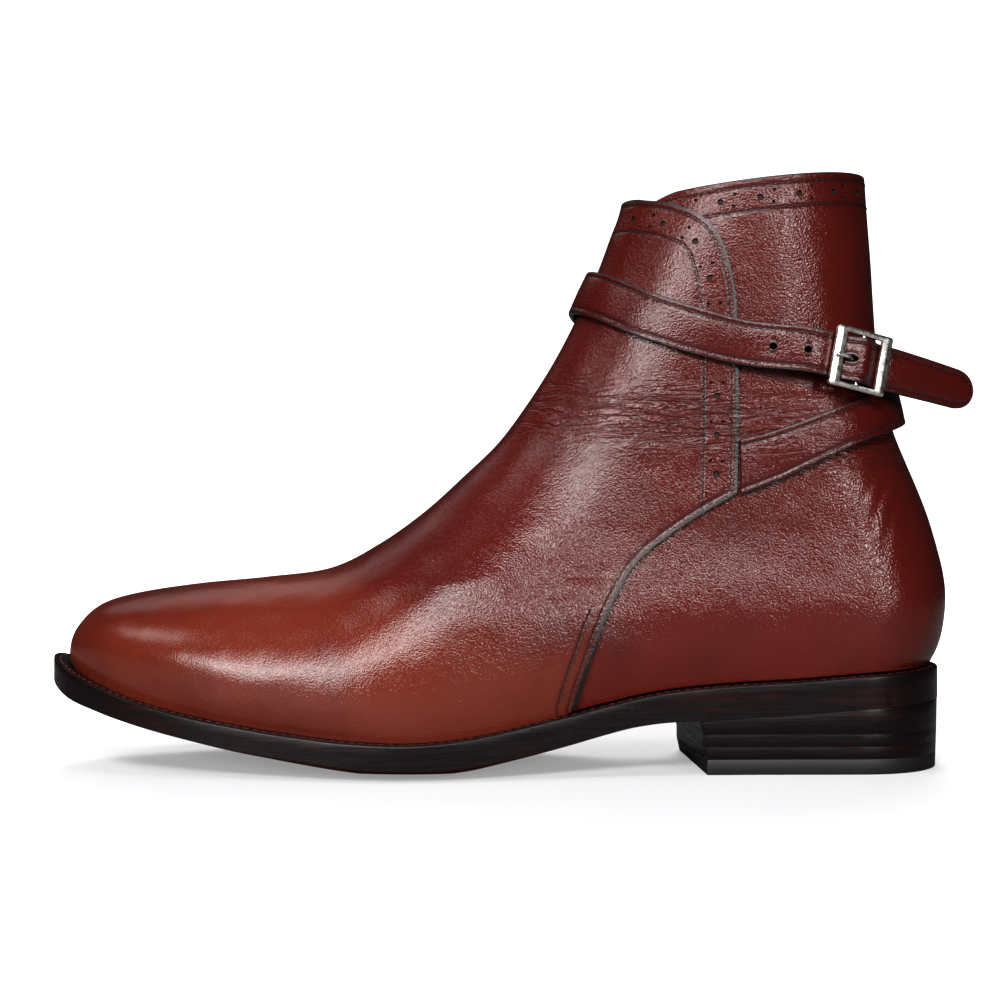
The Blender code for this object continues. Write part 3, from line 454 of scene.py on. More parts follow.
def last_points(row, turn):
    """Points of the last's surface: row counts SECTIONS, turn is 0 at the front, a quarter on the
    outer side, a half at the back. Near the collar the rows dip beside the shin."""
    s = (1 - np.cos(2 * math.pi * turn)) / 2
    wave = COLLAR_RISE * ease(0.02, 0.20, s) * (1 - s) + COLLAR_PEAK * (1 - ease(0.0, 0.05, s))
    row = row + wave * ease(COLLAR_ROW - 4, COLLAR_ROW, row)
    side = np.where(turn <= 0.5, LATERAL, MEDIAL)
    x = curve(ROWS, column(SECTIONS, 0), row) * (1 - s) + curve(ROWS, column(SECTIONS, 2), row) * s
    z = curve(ROWS, column(SECTIONS, 1), row) * (1 - s) + curve(ROWS, column(SECTIONS, 3), row) * s
    feather_x = SECTIONS[0][0] * (1 - s) + SECTIONS[0][2] * s
    feather_z = SECTIONS[0][1] * (1 - s) + SECTIONS[0][3] * s
    ends = np.clip(s / 0.02, 0, 1) * np.clip((1 - s) / 0.02, 0, 1)
    sag = curve(ROWS, column(SECTIONS, 4), row)
    z = z + sag * ends * (welt_top(feather_x) + FEATHER_GAP - feather_z)
    width = np.where((s > 0) & (s < 1), half_width(x, z, side), 0)
    return np.column_stack([x, middle_line(x) + side * width, z])


CREASES = (
    # side, start x, start z, end x, end z, bow, half width, depth
    (LATERAL, -0.0870, 0.1262, -0.0320, 0.1222, -0.0026, 0.0013, 0.00020),
    (LATERAL, -0.0890, 0.1222, -0.0300, 0.1192, -0.0030, 0.0014, 0.00026),
    (LATERAL, -0.0860, 0.1180, -0.0330, 0.1162, -0.0028, 0.0013, 0.00024),
    (LATERAL, -0.0780, 0.1142, -0.0350, 0.1130, -0.0022, 0.0012, 0.00020),
    (LATERAL, -0.0700, 0.1106, -0.0420, 0.1098, -0.0012, 0.0012, 0.00014),
    (LATERAL, -0.0260, 0.1232, 0.0060, 0.1216, 0.0010, 0.0013, 0.00024),
    (LATERAL, -0.0250, 0.1198, 0.0000, 0.1180, 0.0012, 0.0012, 0.00018),
    (LATERAL, 0.0272, 0.0965, 0.0190, 0.0720, -0.0012, 0.0014, 0.00022),
    (LATERAL, 0.0228, 0.0985, 0.0140, 0.0735, -0.0014, 0.0014, 0.00026),
    (LATERAL, 0.0176, 0.0990, 0.0080, 0.0760, -0.0014, 0.0014, 0.00020),
    (LATERAL, 0.0118, 0.0975, 0.0040, 0.0800, -0.0010, 0.0013, 0.00014),
    (LATERAL, -0.0690, 0.0662, -0.0860, 0.0668, 0.0012, 0.0030, 0.00045),
    (LATERAL, -0.0706, 0.0612, -0.0930, 0.0590, 0.0014, 0.0014, 0.00020),
    (LATERAL, -0.0716, 0.0575, -0.0890, 0.0528, -0.0008, 0.0014, 0.00018),
    (MEDIAL, -0.0860, 0.1230, -0.0320, 0.1190, -0.0024, 0.0014, 0.00022),
    (MEDIAL, -0.0840, 0.1190, -0.0340, 0.1156, -0.0022, 0.0013, 0.00022),
    (MEDIAL, -0.0800, 0.1150, -0.0380, 0.1124, -0.0020, 0.0013, 0.00018),
    (MEDIAL, 0.0240, 0.0960, 0.0150, 0.0730, -0.0016, 0.0014, 0.00022),
    (MEDIAL, 0.0190, 0.0975, 0.0090, 0.0750, -0.0016, 0.0014, 0.00020),
)


def crease_depth(points, side):
    """How far the creases pull the leather in at the given points."""
    depth = np.zeros(len(points))
    for crease_side, x0, z0, x1, z1, bow, half, deep in CREASES:
        along = np.array([x1 - x0, z1 - z0])
        length = np.linalg.norm(along)
        along /= length
        across = np.array([-along[1], along[0]])
        offset = points[:, [0, 2]] - (x0, z0)
        run = offset @ along / length
        away = offset @ across - bow * 4 * run * (1 - run)
        fade = ease(-0.15, 0.25, run) * (1 - ease(0.75, 1.15, run))
        trough = np.exp(-((away / half) ** 2)) - 0.45 * np.exp(-((away / half - 1.7) ** 2))
        depth += np.where(side == crease_side, deep * fade * trough, 0)
    return depth


def last_shape(columns, rows, lift):
    """The last's surface as a tube of quads, lifted along its normals and creased."""
    top = len(rows) - 1
    rows = np.asarray(rows, float)
    shape = grid_shape(
        columns, top, lambda u, v: last_points(rows[np.round(v * top).astype(int)], u)
    )
    close_seams(shape)
    inside = Vector((-0.03, 0, 0.12))
    high = max(shape.faces, key=lambda face: face.calc_center_median().z)
    if high.normal.dot(high.calc_center_median() - inside) < 0:
        bmesh.ops.reverse_faces(shape, faces=shape.faces)
    shape.normal_update()
    points = np.array([vertex.co for vertex in shape.verts])
    side = np.where(points[:, 1] < middle_line(points[:, 0]), LATERAL, MEDIAL)
    shift = lift - crease_depth(points, side)
    for vertex, normal, move in zip(shape.verts, [v.normal.copy() for v in shape.verts], shift):
        vertex.co += normal * float(move)
    return shape


def settle(piece, sharp=40):
    """Applies a piece's modifiers to its mesh."""
    graph = bpy.context.evaluated_depsgraph_get()
    mesh = bpy.data.meshes.new_from_object(piece.evaluated_get(graph))
    piece.modifiers.clear()
    piece.data = mesh
    mesh.shade_smooth()
    mesh.set_sharp_from_angle(angle=math.radians(sharp))
    mesh.name = piece.name


def add_field(piece, name, values):
    """Stores a number for each vertex, for the piece's material."""
    field = piece.data.attributes.new(name, "FLOAT", "POINT")
    field.data.foreach_set("value", np.asarray(values, dtype=np.float32))


def vertex_points(piece):
    points = np.empty(len(piece.data.vertices) * 3)
    piece.data.vertices.foreach_get("co", points)
    return points.reshape(-1, 3)


def node(tree, kind, inputs=(), **settings):
    """Adds a shader node, sets its options, and sets or links its inputs."""
    item = tree.nodes.new("ShaderNode" + kind)
    for key, value in settings.items():
        setattr(item, key, value)
    for socket, value in dict(inputs).items():
        if isinstance(value, bpy.types.NodeSocket):
            tree.links.new(value, item.inputs[socket])
        else:
            item.inputs[socket].default_value = value
    return item


def math_node(tree, operation, first, second=0.0, clamp=False):
    return node(tree, "Math", {0: first, 1: second}, operation=operation, use_clamp=clamp).outputs[0]


def ramp(tree, value, low, high, out_low=0.0, out_high=1.0):
    settings = {"Value": value, "From Min": low, "From Max": high, "To Min": out_low, "To Max": out_high}
    return node(tree, "MapRange", settings, interpolation_type="SMOOTHSTEP").outputs[0]


def mix_colour(tree, factor, first, second, blend="MIX"):
    mixer = node(tree, "Mix", data_type="RGBA", blend_type=blend)
    for name, value in (("Factor", factor), ("A", first), ("B", second)):
        socket = next(s for s in mixer.inputs if s.name == name and s.enabled)
        if isinstance(value, bpy.types.NodeSocket):
            tree.links.new(value, socket)
        else:
            socket.default_value = value if isinstance(value, float) else (*value, 1)
    return next(s for s in mixer.outputs if s.enabled)


def new_group(name, sockets_in, sockets_out):
    group = bpy.data.node_groups.new(name, "ShaderNodeTree")
    for label, kind in sockets_in:
        group.interface.new_socket(label, in_out="INPUT", socket_type=kind)
    for label, kind in sockets_out:
        group.interface.new_socket(label, in_out="OUTPUT", socket_type=kind)
    return group, group.nodes.new("NodeGroupInput"), group.nodes.new("NodeGroupOutput")


def calf_grain_group():
    """Tumbled calf: small pebbles of two sizes, broad shallow dents, and fine folds lying level
    where the leather bends. Its Shade output is 1 along the folds' creases, for painted shade there."""
    group, given, result = new_group(
        "calf_grain",
        (("Vector", "NodeSocketVector"), ("Pebbles", "NodeSocketFloat"), ("Folds", "NodeSocketFloat")),
        (("Height", "NodeSocketFloat"), ("Shade", "NodeSocketFloat")),
    )
    place = given.outputs["Vector"]
    warp = node(group, "TexNoise", {"Vector": place, "Scale": 560.0, "Detail": 3.0})
    pushed = node(group, "VectorMath", {0: warp.outputs["Color"], 1: (0.0013,) * 3}, operation="MULTIPLY")
    bent = node(group, "VectorMath", {0: place, 1: pushed.outputs[0]}, operation="ADD").outputs[0]
    cells = node(group, "TexVoronoi", {"Vector": bent, "Scale": 1500.0}, feature="SMOOTH_F1")
    cells.inputs["Smoothness"].default_value = 0.35
    small = node(group, "TexVoronoi", {"Vector": bent, "Scale": 3300.0}, feature="F1")
    pebbles = math_node(group, "MULTIPLY", cells.outputs["Distance"], given.outputs["Pebbles"])
    fine = math_node(group, "MULTIPLY", small.outputs["Distance"], 0.20)
    squeezed = node(group, "Mapping", {"Vector": place, "Scale": (62.0, 62.0, 360.0)})
    waves = node(group, "TexNoise", {"Vector": squeezed.outputs[0], "Scale": 1.0, "Detail": 3.0})
    waves.inputs["Distortion"].default_value = 0.5
    crease = math_node(group, "ABSOLUTE", math_node(group, "SUBTRACT", waves.outputs["Fac"], 0.5))
    crease = ramp(group, crease, 0.0, 0.11)
    folds = math_node(group, "MULTIPLY", crease, given.outputs["Folds"])
    height = math_node(group, "ADD", math_node(group, "SUBTRACT", 1.0, pebbles), folds)
    height = math_node(group, "SUBTRACT", height, fine)
    dents = node(group, "TexNoise", {"Vector": place, "Scale": 58.0, "Detail": 1.5}).outputs["Fac"]
    height = math_node(group, "ADD", height, math_node(group, "MULTIPLY", dents, 8.0))
    # Painted shade: Shade marks the folds' crease lines, which the material darkens.
    shade = math_node(group, "MULTIPLY", math_node(group, "SUBTRACT", 1.0, crease), given.outputs["Folds"])
    group.links.new(height, result.inputs["Height"])
    group.links.new(shade, result.inputs["Shade"])
    return group


calf_grain = calf_grain_group()


def seam_groove(tree, field, at, half):
    """A soft groove along the line where a field has a value: 1 in its middle."""
    away = math_node(tree, "DIVIDE", math_node(tree, "SUBTRACT", field, at), half)
    square = math_node(tree, "MULTIPLY", away, away)
    return math_node(tree, "DIVIDE", 1.0, math_node(tree, "ADD", 1.0, math_node(tree, "MULTIPLY", square, 2.0)))


def calf_leather(name, low_colour, high_colour, rim_width, seams, folding=1.0):
    """Polished calf, low_colour near the sole and at the toe, high_colour above. The piece's edge
    field inks its rim over rim_width. Each seam is a field, its value at the seam, and the heights
    between which the seam runs; each seam's groove gets painted shade. Folding scales the folds at
    the ankle and the painted shade in their creases."""
    material = bpy.data.materials.new(name)
    material.use_nodes = True
    tree = material.node_tree
    shader = tree.nodes["Principled BSDF"]
    shader.inputs["IOR"].default_value = 1.66
    place = node(tree, "TexCoord").outputs["Object"]
    axes = node(tree, "SeparateXYZ", {0: place}).outputs
    ankle = math_node(tree, "MULTIPLY", axes["X"], 0.12)
    ankle = math_node(tree, "ADD", axes["Z"], ankle)
    folds = math_node(
        tree, "MULTIPLY", ramp(tree, ankle, 0.096, 0.106), ramp(tree, ankle, 0.114, 0.126, 1.0, 0.06)
    )
    folds = math_node(tree, "MULTIPLY", folds, 2.4 * folding)
    pebbles = ramp(tree, axes["X"], -0.21, -0.08, 0.30, 1.0)
    grain = node(tree, "Group", node_tree=calf_grain)
    for key, value in (("Vector", place), ("Pebbles", pebbles), ("Folds", folds)):
        tree.links.new(value, grain.inputs[key])
    cloud = node(tree, "TexNoise", {"Vector": place, "Scale": 24.0, "Detail": 5.0}).outputs["Fac"]
    toe_rise = math_node(tree, "MULTIPLY", ramp(tree, axes["X"], -0.22, -0.10, 0.03, 0.0), 1.0)
    level = math_node(tree, "SUBTRACT", axes["Z"], toe_rise)
    level = math_node(tree, "ADD", level, ramp(tree, cloud, 0.3, 0.7, -0.012, 0.012))
    colour = mix_colour(tree, ramp(tree, level, 0.018, 0.062), low_colour, high_colour)
    patches = ramp(tree, cloud, 0.45, 0.72, 0.0, 0.40)
    colour = mix_colour(tree, patches, colour, [c * 0.60 for c in high_colour])
    # Painted shade: the folds' creases are darkened towards near-black.
    colour = mix_colour(
        tree, math_node(tree, "MULTIPLY", grain.outputs["Shade"], 0.09), colour, INK_AND_SHADE
    )
    height = grain.outputs["Height"]
    for field, at, bottom, top in seams:
        value = node(tree, "Attribute", attribute_name=field).outputs["Fac"]
        groove = seam_groove(tree, value, at, 0.0007)
        groove = math_node(tree, "MULTIPLY", groove, ramp(tree, axes["Z"], bottom - 0.001, bottom))
        groove = math_node(tree, "MULTIPLY", groove, ramp(tree, axes["Z"], top, top + 0.001, 1.0, 0.0))
        # Painted shade: each seam's groove is darkened towards near-black, as well as sunk in the bump.
        shade = math_node(tree, "MULTIPLY", groove, 0.55)
        colour = mix_colour(tree, shade, colour, INK_AND_SHADE)
        height = math_node(tree, "SUBTRACT", height, math_node(tree, "MULTIPLY", groove, 2.4))
    edge = node(tree, "Attribute", attribute_name="edge").outputs["Fac"]
    rim = ramp(tree, edge, rim_width * 0.4, rim_width * 0.8, 0.97, 0.0)
    colour = mix_colour(tree, rim, colour, INK_AND_SHADE)
    bump = node(tree, "Bump", {"Height": height, "Strength": 0.8, "Distance": 0.00013})
    tree.links.new(colour, shader.inputs["Base Color"])
    polish = ramp(tree, cloud, 0.25, 0.75, 0.12, 0.19)
    tree.links.new(math_node(tree, "ADD", polish, math_node(tree, "MULTIPLY", rim, 0.28)), shader.inputs["Roughness"])
    tree.links.new(bump.outputs["Normal"], shader.inputs["Normal"])
    return material


# Near-black: the real ink on cut edges, and also the painted shade in seam grooves and fold creases.
INK_AND_SHADE = (0.006, 0.003, 0.003)
TOE_COLOUR, QUARTER_COLOUR = (0.098, 0.0200, 0.0115), (0.060, 0.0085, 0.0066)
COLLAR_SEAMS = (("edge", 0.0026, 0.1, 0.3), ("edge", 0.0105, 0.1, 0.3))
LOW_QUARTER_COLOUR = (0.080, 0.0105, 0.0070)
quarter_leather = calf_leather("quarter_calf", LOW_QUARTER_COLOUR, QUARTER_COLOUR, 0.0010, COLLAR_SEAMS)
lining_leather = surface_leather("lining_leather", (0.20, 0.10, 0.055), 0.6, 1100, 0.0002)
# Near-black walls and floors for punched holes: painted shade in the holes.
hole_shade_leather = plain_material("hole_shade_leather", (0.012, 0.004, 0.003), 0.8)


def collar_distance(points):
    """Distance below the collar's edge, along the leather."""
    turn = np.linspace(0, 1, 721)
    collar = last_points(np.full(721, float(COLLAR_ROW)), turn)
    near = np.full(len(points), np.inf)
    for point in collar[::3]:
        near = np.minimum(near, np.linalg.norm(points - point, axis=1))
    return near


def surface_at(x, z, side, lift=0.0):
    """Points of the upper's side over (x, z), creased and lifted, with the way that they face."""

    def place(x, z):
        return np.column_stack([x, middle_line(x) + side * half_width(x, z, side), z])

    x, z = np.asarray(x, float), np.asarray(z, float)
    small = 0.0004
    forward = place(x + small, z) - place(x - small, z)
    upward = place(x, z + small) - place(x, z - small)
    facing = np.cross(upward, forward) * side
    facing /= np.linalg.norm(facing, axis=1, keepdims=True)
    points = place(x, z)
    return points + facing * (lift - crease_depth(points, side))[:, None], facing


def evenly(points, pitch, start=0.0, end=0.0):
    """Shares of the way along a line at which marks a pitch apart stand, and its length."""
    steps = np.linalg.norm(np.diff(points, axis=0), axis=1)
    reach = np.concatenate([[0], np.cumsum(steps)])
    count = max(1, int(round((reach[-1] - start - end) / pitch)))
    return start + (reach[-1] - start - end) * (np.arange(count) + 0.5) / count, reach


def along_line(points, reach, at):
    return np.column_stack([np.interp(at, reach, points[:, k]) for k in range(points.shape[1])])


def stitch_row(shape, points, facings, pitch, length, thread):
    """Adds one stitch of a sewn row every pitch along a line: an oval of thread, half sunk in."""
    at, reach = evenly(points, pitch)
    centres = along_line(points, reach, at)
    ways = along_line(points, reach, at + length / 2) - along_line(points, reach, at - length / 2)
    for centre, way, facing in zip(centres, ways, along_line(facings, reach, at)):
        way = Vector(way).normalized()
        facing = Vector(facing)
        facing = (facing - way * facing.dot(way)).normalized()
        axes = Matrix((way, facing.cross(way), facing)).transposed().to_4x4()
        size = Matrix.Diagonal((length / 2, thread, thread * 0.8, 1))
        spot = Matrix.Translation(Vector(centre) + facing * thread * 0.15)
        bmesh.ops.create_uvsphere(shape, u_segments=8, v_segments=5, radius=1, matrix=spot @ axes @ size)


def waxed_thread(name, colour):
    material = plain_material(name, colour, 0.55)
    tree = material.node_tree
    place = node(tree, "TexCoord").outputs["Object"]
    twist = node(tree, "TexNoise", {"Vector": place, "Scale": 2600.0, "Detail": 2.0}).outputs["Fac"]
    tone = mix_colour(tree, twist, [c * 0.5 for c in colour], [min(1, c * 1.7) for c in colour])
    tree.links.new(tone, tree.nodes["Principled BSDF"].inputs["Base Color"])
    return material


upper_thread = waxed_thread("upper_thread", (0.015, 0.006, 0.006))


def cut_holes(piece, shape):
    """Cuts a shape out of a piece. The holes' walls and floors are near-black: painted shade in the holes."""
    mesh = bpy.data.meshes.new("punches")
    shape.to_mesh(mesh)
    shape.free()
    mesh.materials.append(hole_shade_leather)
    punches = bpy.data.objects.new("punches", mesh)
    bpy.context.scene.collection.objects.link(punches)
    cut = piece.modifiers.new("Holes", "BOOLEAN")
    cut.operation = "DIFFERENCE"
    cut.object = punches
    cut.material_mode = "TRANSFER"
    settle(piece)
    bpy.data.objects.remove(punches)


def punch(piece, holes, depth):
    """Cuts blind round holes. Each hole is its place, the way that it faces, and its radius."""
    shape = bmesh.new()
    for place, facing, radius in holes:
        turn = Vector(facing).to_track_quat("Z", "Y").to_matrix().to_4x4()
        spot = Matrix.Translation(Vector(place)) @ turn
        bmesh.ops.create_cone(
            shape, cap_ends=True, segments=14, radius1=radius, radius2=radius, depth=depth * 2, matrix=spot
        )
    cut_holes(piece, shape)


BIG_HOLE, SMALL_HOLE = 0.00105, 0.00058


def punched_group(at, pair_after):
    """One group of the punched band: a big hole, and after it a pair of small ones. Each is its
    place along the band, its place across it, and its radius."""
    return (
        (at, 0.0, BIG_HOLE),
        (at + pair_after, -0.0020, SMALL_HOLE),
        (at + pair_after, 0.0020, SMALL_HOLE),
    )


def collar_line(below):
    """Points round the quarters below the collar's edge, with the way that they face."""
    turn = np.concatenate([np.linspace(0.13, 0.5, 200), np.linspace(0.5, 0.87, 200)[1:]])
    crest = last_points(np.full(len(turn), float(COLLAR_ROW)), turn)
    side = np.where(turn <= 0.5, LATERAL, MEDIAL)
    lower = last_points(np.full(len(turn), float(COLLAR_ROW - 1)), turn)
    way = lower - crest
    way /= np.linalg.norm(way, axis=1, keepdims=True)
    points = crest + way * below
    next_points = last_points(np.full(len(turn), float(COLLAR_ROW)), turn + 0.002)
    facing = np.cross(next_points - crest, way)
    facing /= np.linalg.norm(facing, axis=1, keepdims=True)
    outward = points - (-0.024, 0, 0.190)
    facing *= np.sign(np.sum(facing * outward, axis=1, keepdims=True))
    return points, facing


def collar_holes():
    points, facing = collar_line(0.0066)
    at, reach = evenly(points, 0.0128)
    upward, _ = collar_line(0.0056)
    holes = []
    for start in at:
        for along, across, radius in punched_group(start, 0.0045):
            spot = along_line(points, reach, [along])[0]
            above = along_line(upward, reach, [along])[0] - spot
            spot = spot + above / np.linalg.norm(above) * across
            holes.append((spot, along_line(facing, reach, [along])[0], radius))
    return holes


def build_upper():
    shape = last_shape(260, list(np.linspace(0, COLLAR_ROW, 170)), 0.0)
    upper = link_piece("upper_quarters", shape, quarter_leather, lining_leather)
    wall = upper.modifiers.new("Wall", "SOLIDIFY")
    wall.thickness = WALL
    wall.offset = -1
    wall.use_even_offset = True
    wall.material_offset = 1
    wall.material_offset_rim = 0
    rim = upper.modifiers.new("Rim", "BEVEL")
    rim.width = 0.0009
    rim.segments = 3
    rim.limit_method = "ANGLE"
    rim.angle_limit = math.radians(60)
    settle(upper)
    punch(upper, collar_holes(), 0.0009)
    add_field(upper, "edge", collar_distance(vertex_points(upper)))
    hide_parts("upper")
    seams = bmesh.new()
    for below in (0.0026, 0.0105):
        stitch_row(seams, *collar_line(below), 0.0023, 0.0017, 0.00024)
    thread = link_piece("collar_stitches", seams, upper_thread)


build_upper()

# Front panel: vamp, instep and shaft front in one piece of calf, lapped over the quarters. Its
# edges are cut and inked, sewn in two rows, and punched along the flap.
PANEL_LIFT, PANEL_THICKNESS = 0.0004, 0.0014
FLAP_EDGE = (
    # x, z
    (-0.0900, 0.1945),
    (-0.0640, 0.1916),
    (-0.0568, 0.1898),
    (-0.0510, 0.1881),
    (-0.0451, 0.1858),
    (-0.0405, 0.1830),
    (-0.0370, 0.1794),
    (-0.0341, 0.1745),
    (-0.0323, 0.1688),
    (-0.0306, 0.1614),
    (-0.0296, 0.1530),
    (-0.0289, 0.1300),
    (-0.0289, 0.1103),
    (-0.0293, 0.0920),
)
FLAP_FOOT = (
    # x, z
    (-0.0293, 0.0920),
    (-0.0418, 0.0849),
    (-0.0528, 0.0775),
    (-0.0601, 0.0716),
    (-0.0656, 0.0652),
    (-0.0702, 0.0569),
    (-0.0739, 0.0486),
    (-0.0776, 0.0386),
    (-0.0808, 0.0294),
    (-0.0830, 0.0218),
)
FLAP_FRONT = ((-0.3000, 0.0450), (-0.3000, 0.1200), (-0.1500, 0.2000))
BAND_MIDDLE, BAND_SEAM, EDGE_SEAM, FOOT_SEAM = 0.0070, 0.0112, 0.0021, 0.0056
FOOT_SEAM_TOP = 0.0550


def smooth_line(points, steps):
    """A smooth line through the given points, steps of its own to each stretch."""
    at = np.arange(len(points), dtype=float)
    fine = np.linspace(0, len(points) - 1, steps * (len(points) - 1) + 1)
    return np.column_stack([curve(at, column(points, 0), fine), curve(at, column(points, 1), fine)])


FLAP_LINE = smooth_line(FLAP_EDGE, 8)
FOOT_LINE = smooth_line(FLAP_FOOT, 8)
REAR_LINE = np.vstack([FLAP_LINE, FOOT_LINE[1:]])
BAND_LINE = np.vstack([FLAP_LINE, (-0.0300, 0.0500)])


def line_distance(points, line):
    """Distance of side view points from a line, signed by the side of it that they lie on:
    positive to the right of its run."""
    best = np.full(len(points), np.inf)
    signed = np.zeros(len(points))
    for start, end in zip(line, line[1:]):
        way = end - start
        share = np.clip(((points - start) @ way) / (way @ way), 0, 1)
        offset = points - start - share[:, None] * way
        gap = np.linalg.norm(offset, axis=1)
        cross = way[0] * offset[:, 1] - way[1] * offset[:, 0]
        near = gap < best - 1e-9
        best = np.where(near, gap, best)
        signed = np.where(near, np.where(cross <= 0, gap, -gap), signed)
    return signed


def panel_outline():
    toe = np.linspace(FLAP_FOOT[-1][0], -0.275, 60)[1:]
    sole = np.column_stack([toe, welt_top(toe) + 2 * GAP])
    return np.vstack([REAR_LINE, sole, FLAP_FRONT, REAR_LINE[:1]])


def cut_to_outline(shape, outline):
    """Cuts a sheet to a side view outline: the vertices nearest to it move onto it along their
    edges, and what lies outside it is deleted."""
    points = np.array([vertex.co for vertex in shape.verts])
    inside = line_distance(points[:, [0, 2]], outline)
    shape.verts.index_update()
    crossings = []
    for edge in shape.edges:
        first, second = edge.verts
        a, b = inside[first.index], inside[second.index]
        if a * b < 0:
            share = a / (a - b)
            mover, other = (first, second) if share < 0.5 else (second, first)
            crossings.append((min(share, 1 - share), mover, other))
    crossings.sort(key=lambda item: item[0])
    for share, mover, other in crossings:
        if inside[mover.index] * inside[other.index] < 0:
            mover.co = mover.co.lerp(other.co, share)
            inside[mover.index] = 0
    for face in list(shape.faces):
        values = [inside[vertex.index] for vertex in face.verts]
        if len(values) == 4 and min(values) < 0 < max(values):
            on_line = [vertex for vertex in face.verts if inside[vertex.index] == 0]
            if len(on_line) == 2:
                bmesh.utils.face_split(face, *on_line)
    outside = [face for face in shape.faces if min(inside[v.index] for v in face.verts) < 0]
    bmesh.ops.delete(shape, geom=outside, context="FACES")
    loose = [vertex for vertex in shape.verts if not vertex.link_faces]
    bmesh.ops.delete(shape, geom=loose, context="VERTS")


PANEL_SEAMS = (
    ("edge", EDGE_SEAM, 0.0, 0.3),
    ("band", BAND_SEAM, 0.0850, 0.3),
    ("edge", FOOT_SEAM, 0.0, FOOT_SEAM_TOP),
)
vamp_leather = calf_leather("vamp_calf", TOE_COLOUR, QUARTER_COLOUR, 0.0016, PANEL_SEAMS)


def offset_line(line, inward):
    """A side view line moved towards the panel's inside."""
    way = np.gradient(line, axis=0)
    way /= np.linalg.norm(way, axis=1, keepdims=True)
    return line + np.column_stack([way[:, 1], -way[:, 0]]) * inward


def panel_line(line, inward, side, lowest=0.0, highest=1.0):
    """An offset line laid on the panel's face, cut off between two heights and at the shin."""
    moved = offset_line(line, inward)
    shin = np.interp(moved[:, 1], *FINE_FRONT[::-1])
    keep = (moved[:, 1] >= lowest) & (moved[:, 1] <= highest) & (moved[:, 0] > shin + 0.0004)
    moved = moved[keep]
    return surface_at(moved[:, 0], moved[:, 1], side, PANEL_LIFT + PANEL_THICKNESS)


def flap_holes(side):
    middle, facing = panel_line(FLAP_LINE, BAND_MIDDLE, side, 0.0930)
    inner, _ = panel_line(FLAP_LINE, BAND_MIDDLE + 0.0010, side, 0.0930)
    middle, facing = middle[::-1], facing[::-1]
    at, reach = evenly(middle, 0.0132)
    holes = []
    for start in at - 0.0026:
        for along, across, radius in punched_group(start, 0.0043):
            spot = along_line(middle, reach, [along])[0]
            look = along_line(facing, reach, [along])[0]
            way = along_line(middle, reach, [along + 0.0005])[0] - along_line(middle, reach, [along - 0.0005])[0]
            aside = np.cross(look, way / np.linalg.norm(way))
            flat, _ = surface_at([spot[0] + aside[0] * across], [spot[2] + aside[2] * across], side)
            spot = flat[0] + look * (PANEL_LIFT + PANEL_THICKNESS)
            holes.append((spot, look, radius))
    return holes


def build_front_panel():
    rows = list(np.linspace(0, COLLAR_ROW, 200)) + [COLLAR_ROW + 0.3, COLLAR_ROW + 0.55]
    shape = last_shape(330, rows, PANEL_LIFT)
    cut_to_outline(shape, panel_outline())
    panel = link_piece("front_panel_calf", shape, vamp_leather)
    wall = panel.modifiers.new("Wall", "SOLIDIFY")
    wall.thickness = PANEL_THICKNESS
    wall.offset = 1
    rim = panel.modifiers.new("Rim", "BEVEL")
    rim.width = 0.00045
    rim.segments = 2
    rim.limit_method = "ANGLE"
    rim.angle_limit = math.radians(60)
    settle(panel)
    punch(panel, flap_holes(LATERAL) + flap_holes(MEDIAL), 0.0009)
    points = vertex_points(panel)[:, [0, 2]]
    add_field(panel, "edge", line_distance(points, REAR_LINE))
    add_field(panel, "band", line_distance(points, BAND_LINE))
    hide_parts("front_panel")
    seams = bmesh.new()
    for side in (LATERAL, MEDIAL):
        stitch_row(seams, *panel_line(REAR_LINE, EDGE_SEAM, side, 0.0245), 0.0023, 0.0017, 0.00024)
        stitch_row(seams, *panel_line(BAND_LINE, BAND_SEAM, side, 0.0858), 0.0023, 0.0017, 0.00024)
        row = panel_line(FOOT_LINE, FOOT_SEAM, side, 0.0245, FOOT_SEAM_TOP)
        stitch_row(seams, *row, 0.0023, 0.0017, 0.00024)
    thread = link_piece("panel_stitches", seams, upper_thread)


build_front_panel()

# Straps: strips of calf, sewn along both edges. The long one comes from under the flap, goes round
# the calf and the shin, and ends in a free tail beyond the buckle. The short one holds the buckle.
STRAP_THICKNESS, BUCKLE_STRAP_THICKNESS = 0.0019, 0.0016
STRAP_SEAM = 0.0019
STRAP_PATH = (
    # degrees, z, stand off, width
    (99.8, 0.1007, 0.0006, 0.0174),
    (108.0, 0.1042, 0.0007, 0.0160),
    (118.0, 0.1088, 0.0009, 0.0146),
    (131.0, 0.1138, 0.0014, 0.0138),
    (147.0, 0.1178, 0.0022, 0.0136),
    (163.0, 0.1206, 0.0030, 0.0138),
    (180.0, 0.1226, 0.0034, 0.0140),
    (210.0, 0.1270, 0.0034, 0.0143),
    (240.0, 0.1330, 0.0032, 0.0146),
    (270.0, 0.1402, 0.0030, 0.0150),
    (300.0, 0.1480, 0.0030, 0.0153),
    (330.0, 0.1552, 0.0032, 0.0154),
    (360.0, 0.1592, 0.0034, 0.0154),
    (390.0, 0.1566, 0.0030, 0.0154),
    (415.0, 0.1506, 0.0028, 0.0152),
    (437.0, 0.1450, 0.0028, 0.0150),
    (452.0, 0.1418, 0.0028, 0.0148),
)
BUCKLE_STRAP_PATH = (
    # degrees, z, stand off, width
    (258.5, 0.1012, 0.0006, 0.0170),
    (247.0, 0.1054, 0.0006, 0.0150),
    (230.0, 0.1134, 0.0006, 0.0136),
    (210.0, 0.1232, 0.0006, 0.0132),
    (192.0, 0.1306, 0.0006, 0.0130),
    (178.0, 0.1342, 0.0006, 0.0128),
    (166.0, 0.1352, 0.0008, 0.0128),
)
